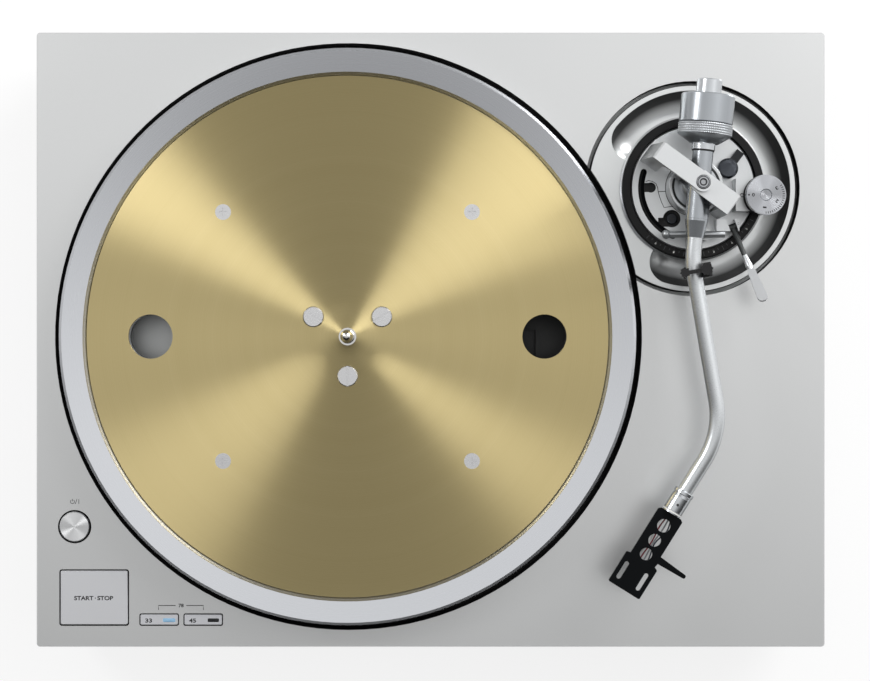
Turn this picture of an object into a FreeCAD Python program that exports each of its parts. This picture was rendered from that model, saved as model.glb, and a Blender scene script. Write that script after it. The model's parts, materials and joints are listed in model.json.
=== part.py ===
import FreeCAD, Part
import math
import os
import re
import Sketcher

# Direct-drive turntable, millimetres. The origin is the centre of the footprint on the surface that
# the feet stand on: +X to the right, +Y to the back, +Z up. The arm is parked over its rest.

doc = FreeCAD.newDocument("turntable")
Vector = FreeCAD.Vector
up = Vector(0, 0, 1)

# Driving dimensions

dimensions = {
    # plinth
    "plinth_wide": 453.0,
    "plinth_deep": 353.0,
    "plinth_corner": 2.0,
    "plinth_top": 98.0,
    "panel_thick": 10.0,
    "chassis_bottom": 50.0,
    "base_bottom": 22.0,
    "shell_wall": 6.0,
    "well_radius": 168.65,
    "well_floor": 80.0,
    "deck_thick": 4.0,
    # platter
    "spindle_x": -47.2,
    "spindle_y": 1.75,
    "platter_radius": 164.0,
    "platter_bottom": 84.0,
    "platter_top": 114.5,
    "ring_inner": 150.0,
    "ring_bead": 1.4,
    "brass_radius": 148.3,
    "brass_top": 113.0,
    "brass_thick": 2.5,
    "disc_thick": 6.5,
    "rubber_thick": 3.5,
    "rubber_hole": 62.0,
    "lift_hole_radius": 12.6,
    "lift_hole_offset": 111.9,
    "platter_screw_offset": 100.0,
    "platter_screw_head": 4.5,
    "rotor_screw_offset": 22.5,
    "rotor_screw_head": 5.75,
    "rotor_screw_shank": 2.4,
    "rotor_screw_hole": 2.55,
    "spindle_radius": 3.6,
    "spindle_tip": 130.0,
    # motor
    "shaft_radius": 5.0,
    "shaft_low": 46.0,
    "hub_radius": 30.0,
    "rotor_radius": 58.0,
    "magnet_inner": 34.0,
    "magnet_outer": 55.0,
    "bearing_wall": 3.0,
    "bearing_clearance": 0.03,
    "bearing_tube": 13.0,
    "stator_radius": 68.0,
    "housing_radius": 74.0,
    "coil_ring": 45.0,
    "coil_radius": 11.0,
    "coil_count": 9,
    "stator_lift": 13.0,
    "bush_long": 12.0,
    "yoke_thick": 3.4,
    "low_magnet_thick": 4.0,
    "high_magnet_thick": 3.4,
    # arm base
    "pivot_x": 150.3,
    "pivot_y": 86.8,
    "board_hole": 61.8,
    "board_radius": 59.5,
    "board_thick": 14.0,
    "trough_middle": 44.0,
    "trough_half": 12.4,
    "trough_depth": 8.5,
    "trough_start": -106.0,
    "trough_end": 140.5,
    "scale_inner": 36.3,
    "scale_outer": 40.6,
    "scale_top": 6.0,
    "plate_radius": 35.7,
    "plate_top": 4.6,
    "plate_thick": 2.6,
    "column_radius": 26.0,
    "sleeve_radius": 29.5,
    "arc_slot_middle": 29.7,
    "arc_slot_wide": 3.6,
    "arc_slot_start": 162.0,
    "arc_slot_end": 247.0,
    # tonearm
    "arm_axis": 37.5,
    "arch_top": 54.0,
    "arch_turn": 143.9,
    "arch_wide": 10.45,
    "arch_reach": 30.6,
    "beam_thick": 4.0,
    "long_post_near": 22.8,
    "long_post_far": 34.1,
    "short_post_near": 15.6,
    "short_post_far": 21.7,
    "short_post_wide": 12.5,
    "pivot_screw_radius": 3.95,
    "gimbal_half_long": 13.6,
    "gimbal_half_high": 9.7,
    "window_half_long": 10.4,
    "window_half_high": 7.5,
    "arm_turn": 5.4,
    "tube_radius": 4.4,
    "tube_wall": 0.8,
    "neck_radius": 6.5,
    "tail_radius": 7.05,
    "weight_radius": 15.0,
    "dial_radius": 15.2,
    "bend_rear": 60.0,
    "bend_front": 48.0,
    "head_turn": 32.0,
    "rear_leg": 44.3,
    "middle_leg": 95.9,
    "middle_turn": 9.7,
    "tube_end": 50.5,
    "rest_turn": 9.4,
    "hub_rear": 18.4,
    "hub_front": 19.5,
    "tail_end": 58.6,
    "weight_rear": 50.0,
    "weight_front": 33.8,
    "dial_rear": 33.5,
    "dial_cone": 27.0,
    "dial_nose": 22.7,
    "rest_right": 3.9,
    "rest_front": 47.8,
    "rest_hinge": 44.0,
    "saddle_top": 30.9,
    "clamp_low": 46.2,
    "clamp_end": 13.4,
    "lift_right": 6.0,
    "lift_front": 27.4,
    "lift_rod_z": 23.5,
    "dial_right": 38.0,
    "dial_front": 5.5,
    "skate_left": 22.4,
    "skate_front": 14.0,
    "skate_back": 4.5,
    "skate_top": 20.0,
    "skate_dial_radius": 11.4,
    "skate_dial_low": 26.3,
    "skate_dial_top": 30.0,
    "lock_right": 19.2,
    "lock_back": 10.8,
    "lock_turn": 53.0,
    "lock_radius": 5.8,
    "lock_top": 12.0,
    "lock_reach": 12.1,
    "cue_x": 171.7,
    "cue_y": 63.9,
    "cue_z": 13.0,
    "cue_turn": -70.3,
    "cue_rise": 24.0,
    "cue_top": 16.0,
    "cue_slot_wide": 4.4,
    "cue_pin_half": 3.6,
    "cue_hub_half": 2.0,
    "collar_rear": 38.5,
    "collar_long": 13.2,
    "plug_long": 10.5,
    "shell_rear": 53.1,
    "shell_long": 50.2,
    "shell_thick": 1.9,
    "shell_narrow": 15.6,
    "shell_wide": 20.2,
    "shell_front": 19.5,
    "finger_lift_rear": 23.7,
    "finger_lift_wide": 4.2,
    "finger_lift_long": 17.6,
    "cartridge_pitch": 12.7,
    "cartridge_slot": 11.0,
    "cartridge_slot_wide": 2.6,
    "cartridge_slot_back": 9.2,
    # controls
    "power_x": -204.6,
    "power_y": -107.5,
    "power_hole": 9.6,
    "power_radius": 8.65,
    "start_left": -213.4,
    "start_right": -173.3,
    "buttons_front": -164.5,
    "start_back": -132.0,
    "speed_wide": 22.8,
    "speed_back": -157.3,
    "speed_33_left": -167.4,
    "speed_45_left": -142.1,
    "button_gap": 0.75,
    "button_rise": 0.4,
    "button_deep": 7.5,
    # feet
    "foot_x": 190.0,
    "foot_y": 140.0,
    "foot_radius": 28.0,
    "foot_thread": 6.0,
    "foot_pad_radius": 23.0,
    "foot_pad_high": 6.0,
    "foot_top": 20.5,
    "foot_stem_top": 45.0,
    # sockets behind
    "terminal_left": -30.0,
    "terminal_right": 110.0,
    "terminal_low": 33.0,
    "terminal_high": 70.0,
    "socket_z": 51.5,
    "inlet_x": 0.0,
    "signal_x": 76.0,
    "socket_pitch": 18.0,
    "recess_depth": 20.0,
    "inlet_half_wide": 14.0,
    "inlet_half_high": 10.0,
    "circuit_thick": 1.6,
    "circuit_lift": 3.0,
}

sheet = doc.addObject("Spreadsheet::Sheet", "Dim")
for row, (alias, value) in enumerate(dimensions.items(), start=1):
    sheet.set(f"A{row}", alias)
    sheet.set(f"B{row}", str(value))
    sheet.setAlias(f"B{row}", alias)
doc.recompute()


# Formulas are written with the sheet's alias names, and bound to the object that they size.

def linked(formula):
    def prefix(word):
        return "Dim." + word.group() if word.group() in dimensions else word.group()
    return re.sub(r"[a-z_][a-z_0-9]*", prefix, str(formula))


def worth(formula):
    return float(sheet.evalExpression(linked(formula)))


def bind(thing, **formulas):
    for name, formula in formulas.items():
        thing.setExpression(name.replace("__", "."), linked(formula))


def put(thing, x=0, y=0, z=0, turn=None):
    bind(thing, Placement__Base__x=x, Placement__Base__y=y, Placement__Base__z=z)
    if turn is not None:
        thing.Placement.Rotation = FreeCAD.Rotation(up, worth(turn))
        bind(thing, Placement__Rotation__Angle=turn)
    return thing


def cylinder(name, radius, low, high, x=0, y=0):
    thing = doc.addObject("Part::Cylinder", name)
    bind(thing, Radius=radius, Height=f"({high}) - ({low})")
    return put(thing, x, y, low)


def cone(name, radius_low, radius_high, low, high, x=0, y=0):
    thing = doc.addObject("Part::Cone", name)
    bind(thing, Radius1=radius_low, Radius2=radius_high, Height=f"({high}) - ({low})")
    return put(thing, x, y, low)


def block(name, left, right, front, back, low, high):
    thing = doc.addObject("Part::Box", name)
    bind(thing, Length=f"({right}) - ({left})", Width=f"({back}) - ({front})",
         Height=f"({high}) - ({low})")
    return put(thing, left, front, low)


def sphere(name, radius, x, y, z):
    thing = doc.addObject("Part::Sphere", name)
    bind(thing, Radius=radius)
    return put(thing, x, y, z)


def fuse(name, *things):
    thing = doc.addObject("Part::MultiFuse", name)
    thing.Shapes = list(things)
    thing.Refine = True
    return thing


def cut(name, base, *tools):
    thing = doc.addObject("Part::Cut", name)
    thing.Base = base
    thing.Tool = tools[0] if len(tools) == 1 else fuse(name + "_tools", *tools)
    thing.Refine = True
    return thing


def together(name, *things):
    thing = doc.addObject("Part::Compound", name)
    thing.Links = list(things)
    return thing


def plane_of(body, role):
    return next(plane for plane in body.Origin.OriginFeatures if plane.Role == role)


def sketch_on(body, role, name):
    sketch = body.newObject("Sketcher::SketchObject", name)
    sketch.AttachmentSupport = [(plane_of(body, role), "")]
    sketch.MapMode = "FlatFace"
    return sketch


def fix_point(sketch, edge, end, across, along):
    for kind, formula in (("DistanceX", across), ("DistanceY", along)):
        number = sketch.addConstraint(
            Sketcher.Constraint(kind, -1, 1, edge, end, worth(formula)))
        sketch.setExpression(f"Constraints[{number}]", linked(formula))


def polygon(sketch, outline):
    corners = [Vector(worth(across), worth(along), 0) for across, along in outline]
    count = len(corners)
    for number in range(count):
        line = Part.LineSegment(corners[number], corners[(number + 1) % count])
        sketch.addGeometry(line, False)
    for number in range(count):
        sketch.addConstraint(
            Sketcher.Constraint("Coincident", number, 2, (number + 1) % count, 1))
    for number, (across, along) in enumerate(outline):
        fix_point(sketch, number, 1, across, along)


# A turned piece: its half outline is a list of (radius, height) round the upright axis.
def turned(name, outline, x=0, y=0, z=0):
    body = doc.addObject("PartDesign::Body", name)
    sketch = sketch_on(body, "XZ_Plane", name + "_half")
    polygon(sketch, outline)
    spun = body.newObject("PartDesign::Revolution", name + "_spun")
    spun.Profile = (sketch, [""])
    spun.ReferenceAxis = (sketch, ["V_Axis"])
    spun.Angle = 360
    return put(body, x, y, z)


# A flat piece: its outline is a list of (x, y), raised from low to high.
def plate(name, outline, low, high, x=0, y=0):
    body = doc.addObject("PartDesign::Body", name)
    sketch = sketch_on(body, "XY_Plane", name + "_outline")
    polygon(sketch, outline)
    pad = body.newObject("PartDesign::Pad", name + "_pad")
    pad.Profile = (sketch, [""])
    bind(pad, Length=f"({high}) - ({low})")
    return put(body, x, y, low)


# A rectangle with round corners, centred on (x, y), with its upper edge broken.
def rounded(name, wide, deep, corner, low, high, x=0, y=0, bevel=None):
    body = doc.addObject("PartDesign::Body", name)
    sketch = sketch_on(body, "XY_Plane", name + "_outline")
    half_wide, half_deep, turn = worth(wide) / 2, worth(deep) / 2, worth(corner)
    for number in range(4):
        quarter = math.radians(90 * number)
        along = Vector(math.cos(quarter), math.sin(quarter), 0)
        across = Vector(along.y, -along.x, 0)
        run, out = (half_wide, half_deep) if number % 2 == 0 else (half_deep, half_wide)
        start, end = out * across - (run - turn) * along, out * across + (run - turn) * along
        sketch.addGeometry(Part.LineSegment(start, end), False)
        centre = end - turn * across
        circle = Part.Circle(centre, up, turn)
        sketch.addGeometry(Part.ArcOfCircle(circle, quarter - math.pi / 2, quarter), False)
    for number in range(4):
        line, arc = 2 * number, 2 * number + 1
        sketch.addConstraint(Sketcher.Constraint("Tangent", line, 2, arc, 1))
        sketch.addConstraint(Sketcher.Constraint("Tangent", arc, 2, (line + 2) % 8, 1))
        sketch.addConstraint(Sketcher.Constraint("Vertical" if number % 2 else "Horizontal", line))
    for arc in (3, 5, 7):
        sketch.addConstraint(Sketcher.Constraint("Equal", 1, arc))
    sizes = (("Radius", (1,), corner), ("DistanceX", (-1, 1, 2, 1), f"({wide}) / 2"),
             ("DistanceX", (6, 1, -1, 1), f"({wide}) / 2"),
             ("DistanceY", (-1, 1, 4, 1), f"({deep}) / 2"),
             ("DistanceY", (0, 1, -1, 1), f"({deep}) / 2"))
    for kind, picks, formula in sizes:
        number = sketch.addConstraint(Sketcher.Constraint(kind, *picks, worth(formula)))
        sketch.setExpression(f"Constraints[{number}]", linked(formula))
    pad = body.newObject("PartDesign::Pad", name + "_pad")
    pad.Profile = (sketch, [""])
    bind(pad, Length=f"({high}) - ({low})")
    if bevel is not None:
        doc.recompute()
        tops = [f"Face{number}" for number, face in enumerate(pad.Shape.Faces, start=1)
                if face.CenterOfMass.z > pad.Shape.BoundBox.ZMax - 1e-6]
        edge = body.newObject("PartDesign::Chamfer", name + "_edge")
        edge.Base = (pad, tops)
        bind(edge, Size=bevel)
    return put(body, x, y, low)


finished = {}


# A sub-part is finished under its label, which names its file.
def finish(label, thing):
    thing.Label = label
    finished[label] = thing
    return thing


# Deck: top panel, die-cast chassis and moulded base

well_at = ("spindle_x", "spindle_y")
pivot_at = ("pivot_x", "pivot_y")
panel_low = "plinth_top - panel_thick"
button_middle = {"x": "(start_left + start_right) / 2", "y": "(buttons_front + start_back) / 2"}
speed_y = "(buttons_front + speed_back) / 2"
speed_33_x = "speed_33_left + speed_wide / 2"
speed_45_x = "speed_45_left + speed_wide / 2"
start_wide, start_deep = "start_right - start_left", "start_back - buttons_front"
speed_deep = "speed_back - buttons_front"


def top_panel():
    slab = rounded("panel_slab", "plinth_wide", "plinth_deep", "plinth_corner",
                   panel_low, "plinth_top", bevel=0.5)
    well = cylinder("panel_well", "well_radius", panel_low + " - 1", "plinth_top + 1", *well_at)
    arm = cylinder("panel_arm", "board_hole", panel_low + " - 1", "plinth_top + 1", *pivot_at)
    power = cylinder("panel_power", "power_hole", panel_low + " - 1", "plinth_top + 1",
                     "power_x", "power_y")
    start = rounded("panel_start", start_wide, start_deep, 1.6, panel_low + " - 1",
                    "plinth_top + 1", button_middle["x"], button_middle["y"])
    speeds = [rounded(f"panel_speed_{number}", "speed_wide", speed_deep, 1.2,
                      panel_low + " - 1", "plinth_top + 1", middle, speed_y)
              for number, middle in (("33", speed_33_x), ("45", speed_45_x))]
    finish("top_panel", cut("panel", slab, well, arm, power, start, *speeds))


def switch_pockets(name, low, high, inset):
    start = block(name + "_start", f"start_left - 2 + {inset}", f"start_right + 3 - {inset}",
                  f"buttons_front - 2 + {inset}", f"start_back + 3 - {inset}", low, high)
    speed = block(name + "_speed", f"start_right - {inset}", f"speed_45_left + 24.5 - {inset}",
                  f"buttons_front - 2 + {inset}", f"speed_back + 2 - {inset}", low, high)
    power = cylinder(name + "_power", f"power_hole + 2.5 - {inset}", low, high, "power_x", "power_y")
    return [start, speed, power]


def chassis():
    deck_low = "well_floor - deck_thick"
    inner_wide, inner_deep = "plinth_wide - 2 * shell_wall", "plinth_deep - 2 * shell_wall"
    outside = rounded("chassis_outside", "plinth_wide", "plinth_deep", "plinth_corner",
                      "chassis_bottom", panel_low)
    inside = rounded("chassis_inside", inner_wide, inner_deep, 3.0, "chassis_bottom - 1", deck_low)
    shell = cut("chassis_shell", outside, inside)
    rib_low = "chassis_bottom + 12"
    ribs = [block(f"chassis_rib_{number}", "-plinth_wide / 2 + 5", "plinth_wide / 2 - 5",
                  f"{along} - 1.5", f"{along} + 1.5", rib_low, deck_low)
            for number, along in enumerate((-90, 130))]
    ribs += [block(f"chassis_cross_{number}", f"{across} - 1.5", f"{across} + 1.5",
                   "-plinth_deep / 2 + 5", "plinth_deep / 2 - 5", rib_low, deck_low)
             for number, across in enumerate((-170, 100))]
    well = cylinder("chassis_well", "well_radius", "well_floor", "plinth_top", *well_at)
    motor = cylinder("chassis_motor", "rotor_radius + 6.3", "chassis_bottom + 10", "plinth_top",
                     *well_at)
    board = cylinder("chassis_board", "board_hole", "plinth_top - board_thick", "plinth_top",
                     *pivot_at)
    column = cylinder("chassis_column", "sleeve_radius + 0.3", "chassis_bottom + 10", "plinth_top",
                      *pivot_at)
    flange = cylinder("chassis_flange", "sleeve_radius + 9", "chassis_bottom", deck_low, *pivot_at)
    rear = block("chassis_rear", "terminal_left", "terminal_right", "plinth_deep / 2 - 30",
                 "plinth_deep / 2 + 1", "chassis_bottom - 1", "terminal_high")
    body = fuse("chassis_body", shell, *ribs)
    pockets = switch_pockets("chassis_pocket", "well_floor", "plinth_top", 0)
    finish("chassis", cut("chassis_cast", body, well, motor, board, column, flange, rear, *pockets))


def base_tray():
    outside = rounded("tray_outside", "plinth_wide", "plinth_deep", "plinth_corner",
                      "base_bottom", "chassis_bottom")
    inside = rounded("tray_inside", "plinth_wide - 16", "plinth_deep - 16", 3.0,
                     "base_bottom + shell_wall", "chassis_bottom + 1")
    shell = cut("tray_shell", outside, inside)
    bosses = [cylinder(f"tray_boss_{side}{end}", "foot_thread + 8", "base_bottom + 1",
                       "chassis_bottom - 2", f"{side}1 * foot_x", f"{end}1 * foot_y")
              for side in "-+" for end in "-+"]
    threads = [cylinder(f"tray_thread_{side}{end}", "foot_thread + 0.05", "base_bottom - 1",
                        "chassis_bottom - 1", f"{side}1 * foot_x", f"{end}1 * foot_y")
               for side in "-+" for end in "-+"]
    rear = block("tray_rear", "terminal_left", "terminal_right", "plinth_deep / 2 - 30",
                 "plinth_deep / 2 + 1", "terminal_low", "chassis_bottom + 1")
    bearing = cylinder("tray_bearing", "bearing_tube + 3", "base_bottom + 1",
                       "base_bottom + 18", *well_at)
    finish("base_tray", cut("tray", fuse("tray_body", shell, *bosses, bearing), rear, *threads))


# The sockets sit in a recess behind, so that no plug passes the plinth's back edge.

def rear_sockets():
    back, floor = "plinth_deep / 2 - 0.4", "plinth_deep / 2 - recess_depth"
    outside = block("recess_outside", "terminal_left + 0.2", "terminal_right - 0.2", floor + " - 2",
                    back, "terminal_low + 0.2", "terminal_high - 0.2")
    hollow = block("recess_hollow", "terminal_left + 2.2", "terminal_right - 2.2", floor,
                   back + " + 1", "terminal_low + 2.2", "terminal_high - 2.2")
    inlet_hole = block("recess_inlet", "inlet_x - inlet_half_wide", "inlet_x + inlet_half_wide",
                       floor + " - 3", floor + " + 1", "socket_z - inlet_half_high",
                       "socket_z + inlet_half_high")
    stems = []
    for number, (across, radius) in enumerate((("signal_x - 20", 2), ("signal_x", 4.15),
                                               ("signal_x + socket_pitch", 4.15))):
        stem = cylinder(f"recess_stem_{number}", f"{radius} + 0.05", 0, 6)
        stem.Placement.Rotation = FreeCAD.Rotation(Vector(1, 0, 0), -90)
        stems.append(put(stem, across, floor + " - 4", "socket_z"))
    finish("rear_panel", cut("recess", outside, hollow, inlet_hole, *stems))

    shroud = block("inlet_shroud", "inlet_x - inlet_half_wide", "inlet_x + inlet_half_wide",
                   floor + " - 14", floor + " + 4", "socket_z - inlet_half_high",
                   "socket_z + inlet_half_high")
    rim = block("inlet_rim", "inlet_x - inlet_half_wide - 3", "inlet_x + inlet_half_wide + 3", floor,
                floor + " + 2", "socket_z - inlet_half_high - 3", "socket_z + inlet_half_high + 3")
    cavity = block("inlet_cavity", "inlet_x - inlet_half_wide + 2", "inlet_x + inlet_half_wide - 2",
                   floor + " - 12", floor + " + 5", "socket_z - inlet_half_high + 2",
                   "socket_z + inlet_half_high - 2")
    pins = [block(f"inlet_pin_{number}", f"inlet_x + {across} - 1", f"inlet_x + {across} + 1",
                  floor + " - 13", floor + " - 2", f"socket_z + {along} - 2", f"socket_z + {along} + 2")
            for number, (across, along) in enumerate(((-7, -2), (0, 2), (7, -2)))]
    finish("mains_inlet", fuse("inlet", cut("inlet_body", fuse("inlet_outer", shroud, rim), cavity),
                               *pins))

    sockets = []
    for number in range(2):
        body = turned(f"signal_{number}", [(1.6, -6), (4.15, -6), (4.15, 0), (6.5, 0), (6.5, 2.5),
                                           (4.15, 2.5), (4.15, 12), (1.6, 12)])
        body.Placement.Rotation = FreeCAD.Rotation(Vector(1, 0, 0), -90)
        sockets.append(put(body, f"signal_x + socket_pitch * {number}", floor, "socket_z"))
    finish("signal_sockets", together("signals", *sockets))

    earth = turned("earth_screw", [(0, -6), (2, -6), (2, 0), (4, 0), (4, 2), (2.2, 2), (2.2, 4),
                                   (5, 4), (5, 11), (4.4, 12), (0, 12)])
    earth.Placement.Rotation = FreeCAD.Rotation(Vector(1, 0, 0), -90)
    finish("earth_terminal", put(earth, "signal_x - 20", floor, "socket_z"))


def electronics():
    floor = "base_bottom + shell_wall + circuit_lift"
    face = floor + " + circuit_thick"
    posts = [cylinder(f"control_post_{number}", 3, "base_bottom + shell_wall", floor, across, along)
             for number, (across, along) in enumerate(((-150, -60), (-150, -150), (-60, -60),
                                                      (-60, -150)))]
    board = block("control_sheet", -155, -55, -155, -55, floor, face)
    chips = [block(f"control_chip_{number}", across, across + 16, along, along + 16,
                   face, floor + " + 4")
             for number, (across, along) in enumerate(((-130, -100), (-100, -130), (-95, -90)))]
    finish("control_board", fuse("control", board, *posts, *chips))

    posts = [cylinder(f"supply_post_{number}", 3, "base_bottom + shell_wall", floor, across, along)
             for number, (across, along) in enumerate(((35, 55), (35, 140), (125, 55), (125, 140)))]
    board = block("supply_sheet", 30, 130, 50, 145, floor, face)
    cans = [cylinder(f"supply_can_{number}", 8, face, floor + " + 27", 45 + 20 * number, 65)
            for number in range(3)]
    finish("supply_board", fuse("supply", board, *posts, *cans))

    core = block("transformer_core", 45, 105, 90, 125, face, floor + " + 29")
    winding = block("transformer_winding", 52, 98, 84, 131, floor + " + 6", floor + " + 25")
    finish("transformer", fuse("transformer_whole", core, winding))

    sheets = switch_pockets("switch_sheet", "well_floor", "well_floor + circuit_thick", 0.4)
    places = [("power_x", "power_y"), (button_middle["x"], button_middle["y"]),
              (speed_33_x, speed_y), (speed_45_x, speed_y)]
    switches = []
    for number, (across, along) in enumerate(places):
        switches.append(block(f"switch_box_{number}", f"{across} - 3", f"{across} + 3",
                              f"{along} - 3", f"{along} + 3", "well_floor + circuit_thick",
                              "well_floor + 6"))
        switches.append(cylinder(f"switch_key_{number}", 1.6, "well_floor + 6",
                                 "plinth_top - 9.3", across, along))
    finish("button_switches", fuse("switches", *sheets, *switches))


# Each button is a cap that slides in its hole, with its face just above the panel.

def buttons():
    face, low = "plinth_top + button_rise", "plinth_top - button_deep"
    dome = "plinth_top + 2 * button_rise"
    cap = turned("power_cap", [(0, low), ("power_radius", low), ("power_radius", dome + " - 0.5"),
                               ("power_radius - 0.5", dome), (0, dome)], "power_x", "power_y")
    finish("power_button", cap)
    finish("start_button", rounded("start_cap", start_wide + " - 2 * button_gap",
                                   start_deep + " - 2 * button_gap", 1.0, low, face,
                                   button_middle["x"], button_middle["y"], bevel=0.3))
    for number, middle in (("33", speed_33_x), ("45", speed_45_x)):
        finish(f"speed_button_{number}",
               rounded(f"speed_cap_{number}", "speed_wide - 1.2", speed_deep + " - 1.2", 0.8,
                       low, face, middle, speed_y, bevel=0.25))


def feet():
    washer = "foot_top + 0.9"
    outline = [(0, 0), ("foot_pad_radius - 2", 0), ("foot_pad_radius", 1),
               ("foot_pad_radius", "foot_pad_high"), ("foot_radius - 1", "foot_pad_high"),
               ("foot_radius", "foot_pad_high + 1"), ("foot_radius", "foot_top - 2"),
               ("foot_radius - 1.5", "foot_top"), ("2 * foot_thread", "foot_top"),
               ("2 * foot_thread", washer), ("foot_thread", washer),
               ("foot_thread", "foot_stem_top - 1"), ("foot_thread - 1", "foot_stem_top"),
               (0, "foot_stem_top")]
    for end, along in (("front", "-foot_y"), ("back", "foot_y")):
        for side, across in (("left", "-foot_x"), ("right", "foot_x")):
            finish(f"foot_{end}_{side}", turned(f"foot_{end}_{side}_half", outline, across, along))


# Platter: cast ring and web, brass plate on top, damping rubber and rotor below

def lift_holes(name, low, high):
    return [cylinder(f"{name}_{side}", "lift_hole_radius", low, high,
                     f"spindle_x {side} lift_hole_offset", "spindle_y")
            for side in "-+"]


def ringed(offset, count, first):
    for number in range(count):
        turn = math.radians(first + 360.0 * number / count)
        yield (f"spindle_x + {offset} * ({math.cos(turn):.9f})",
               f"spindle_y + {offset} * ({math.sin(turn):.9f})")


def screw(name, x, y, head, shank, low, top, slot):
    body = turned(name + "_body", [(0, low), (shank, low), (shank, f"{top} - 2"),
                                   (head, f"{top} - 0.4"), (f"{head} - 0.3", top), (0, top)], x, y)
    cuts = [block(f"{name}_slot_{number}", f"-{wide} / 2", f"{wide} / 2", f"-{deep} / 2",
                  f"{deep} / 2", f"{top} - 0.9", f"{top} + 1")
            for number, (wide, deep) in enumerate(slot)]
    return body, cuts


def platter():
    web_top, web_low = "brass_top - brass_thick", "brass_top - brass_thick - disc_thick"
    shoulder = "ring_inner - ring_bead"
    casting = turned("casting_turned", [
        ("shaft_radius + 0.02", web_low), ("ring_inner + 4", web_low),
        ("ring_inner + 4", "platter_bottom"), ("platter_radius - 1", "platter_bottom"),
        ("platter_radius", "platter_bottom + 1"), ("platter_radius", "platter_top - 1.6"),
        ("platter_radius - 1.6", "platter_top"), ("ring_inner + 0.3", "platter_top"),
        ("ring_inner", "platter_top - 0.5"), (shoulder, "brass_top - 0.4"), (shoulder, web_top),
        ("shaft_radius + 0.02", web_top)], *well_at)
    screw_holes = [cylinder(f"casting_screw_{number}", 1.5, web_low + " + 1", web_top + " + 1", x, y)
                   for number, (x, y) in enumerate(ringed("platter_screw_offset", 4, 45))]
    bolt_holes = [cylinder(f"casting_bolt_{number}", "rotor_screw_hole", web_low + " - 1",
                           web_top + " + 1", x, y)
                  for number, (x, y) in enumerate(ringed("rotor_screw_offset", 3, 30))]
    finish("platter_casting", cut("casting", casting,
                                  *lift_holes("casting_lift", web_low + " - 1", web_top + " + 1"),
                                  *screw_holes, *bolt_holes))

    brass = turned("brass_turned", [
        ("shaft_radius + 0.02", web_top), ("brass_radius", web_top),
        ("brass_radius", "brass_top - 0.2"), ("brass_radius - 0.2", "brass_top"),
        ("shaft_radius + 0.02", "brass_top")], *well_at)
    sinks = [cone(f"brass_sink_{number}", 1.5, "platter_screw_head", "brass_top - 2",
                  "brass_top - 0.4", x, y)
             for number, (x, y) in enumerate(ringed("platter_screw_offset", 4, 45))]
    sinks += [cylinder(f"brass_rim_{number}", "platter_screw_head", "brass_top - 0.4",
                       "brass_top + 1", x, y)
              for number, (x, y) in enumerate(ringed("platter_screw_offset", 4, 45))]
    sinks += [cylinder(f"brass_screw_{number}", 1.5, web_top + " - 1", "brass_top", x, y)
              for number, (x, y) in enumerate(ringed("platter_screw_offset", 4, 45))]
    sinks += [cylinder(f"brass_bolt_{number}", "rotor_screw_head + 0.15", web_top + " - 1",
                       "brass_top + 1", x, y)
              for number, (x, y) in enumerate(ringed("rotor_screw_offset", 3, 30))]
    finish("brass_plate", cut("brass", brass, *lift_holes("brass_lift", web_top + " - 1",
                                                          "brass_top + 1"), *sinks))

    rubber = turned("rubber_turned", [
        ("rubber_hole", web_low + " - rubber_thick"), ("ring_inner + 3.9", web_low + " - rubber_thick"),
        ("ring_inner + 3.9", web_low), ("rubber_hole", web_low)], *well_at)
    finish("platter_rubber", cut("rubber", rubber,
                                 *lift_holes("rubber_lift", web_low + " - 5", web_low + " + 1")))

    countersunk = []
    for number, (x, y) in enumerate(ringed("platter_screw_offset", 4, 45)):
        name = f"platter_screw_{number}"
        body = turned(name + "_body", [(0, web_low + " + 1"), (1.5, web_low + " + 1"),
                                       (1.5, "brass_top - 2"), ("platter_screw_head", "brass_top - 0.4"),
                                       ("platter_screw_head", "brass_top - 0.05"),
                                       (0, "brass_top - 0.05")], x, y)
        cross = [block(f"{name}_cross_{arm}", f"{x} - {wide}", f"{x} + {wide}", f"{y} - {deep}",
                       f"{y} + {deep}", "brass_top - 1.2", "brass_top + 1")
                 for arm, (wide, deep) in enumerate(((2.3, 0.45), (0.45, 2.3)))]
        countersunk.append(cut(name, body, *cross))
    finish("platter_screws", together("platter_screw_set", *countersunk))

    bolts = []
    for number, (x, y) in enumerate(ringed("rotor_screw_offset", 3, 30)):
        name = f"rotor_screw_{number}"
        body = turned(name + "_body", [(0, web_low + " - 3"), ("rotor_screw_shank", web_low + " - 3"),
                                       ("rotor_screw_shank", web_top), ("rotor_screw_head", web_top),
                                       ("rotor_screw_head", "brass_top + 0.5"),
                                       ("rotor_screw_head - 0.4", "brass_top + 0.9"),
                                       (0, "brass_top + 0.9")], x, y)
        half_long, half_wide, turn = 7, 0.6, 30 + 120 * number
        slot = block(name + "_slot", 0, 2 * half_long, 0, 2 * half_wide, "brass_top", "brass_top + 2")
        put(slot, f"{x} - {half_long} * cos({turn} * 1deg) + {half_wide} * sin({turn} * 1deg)",
            f"{y} - {half_long} * sin({turn} * 1deg) - {half_wide} * cos({turn} * 1deg)",
            "brass_top", turn)
        bolts.append(cut(name, body, slot))
    finish("rotor_screws", together("rotor_screw_set", *bolts))


# Motor: two magnet rings with a flat coil ring between them, all round one shaft

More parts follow.
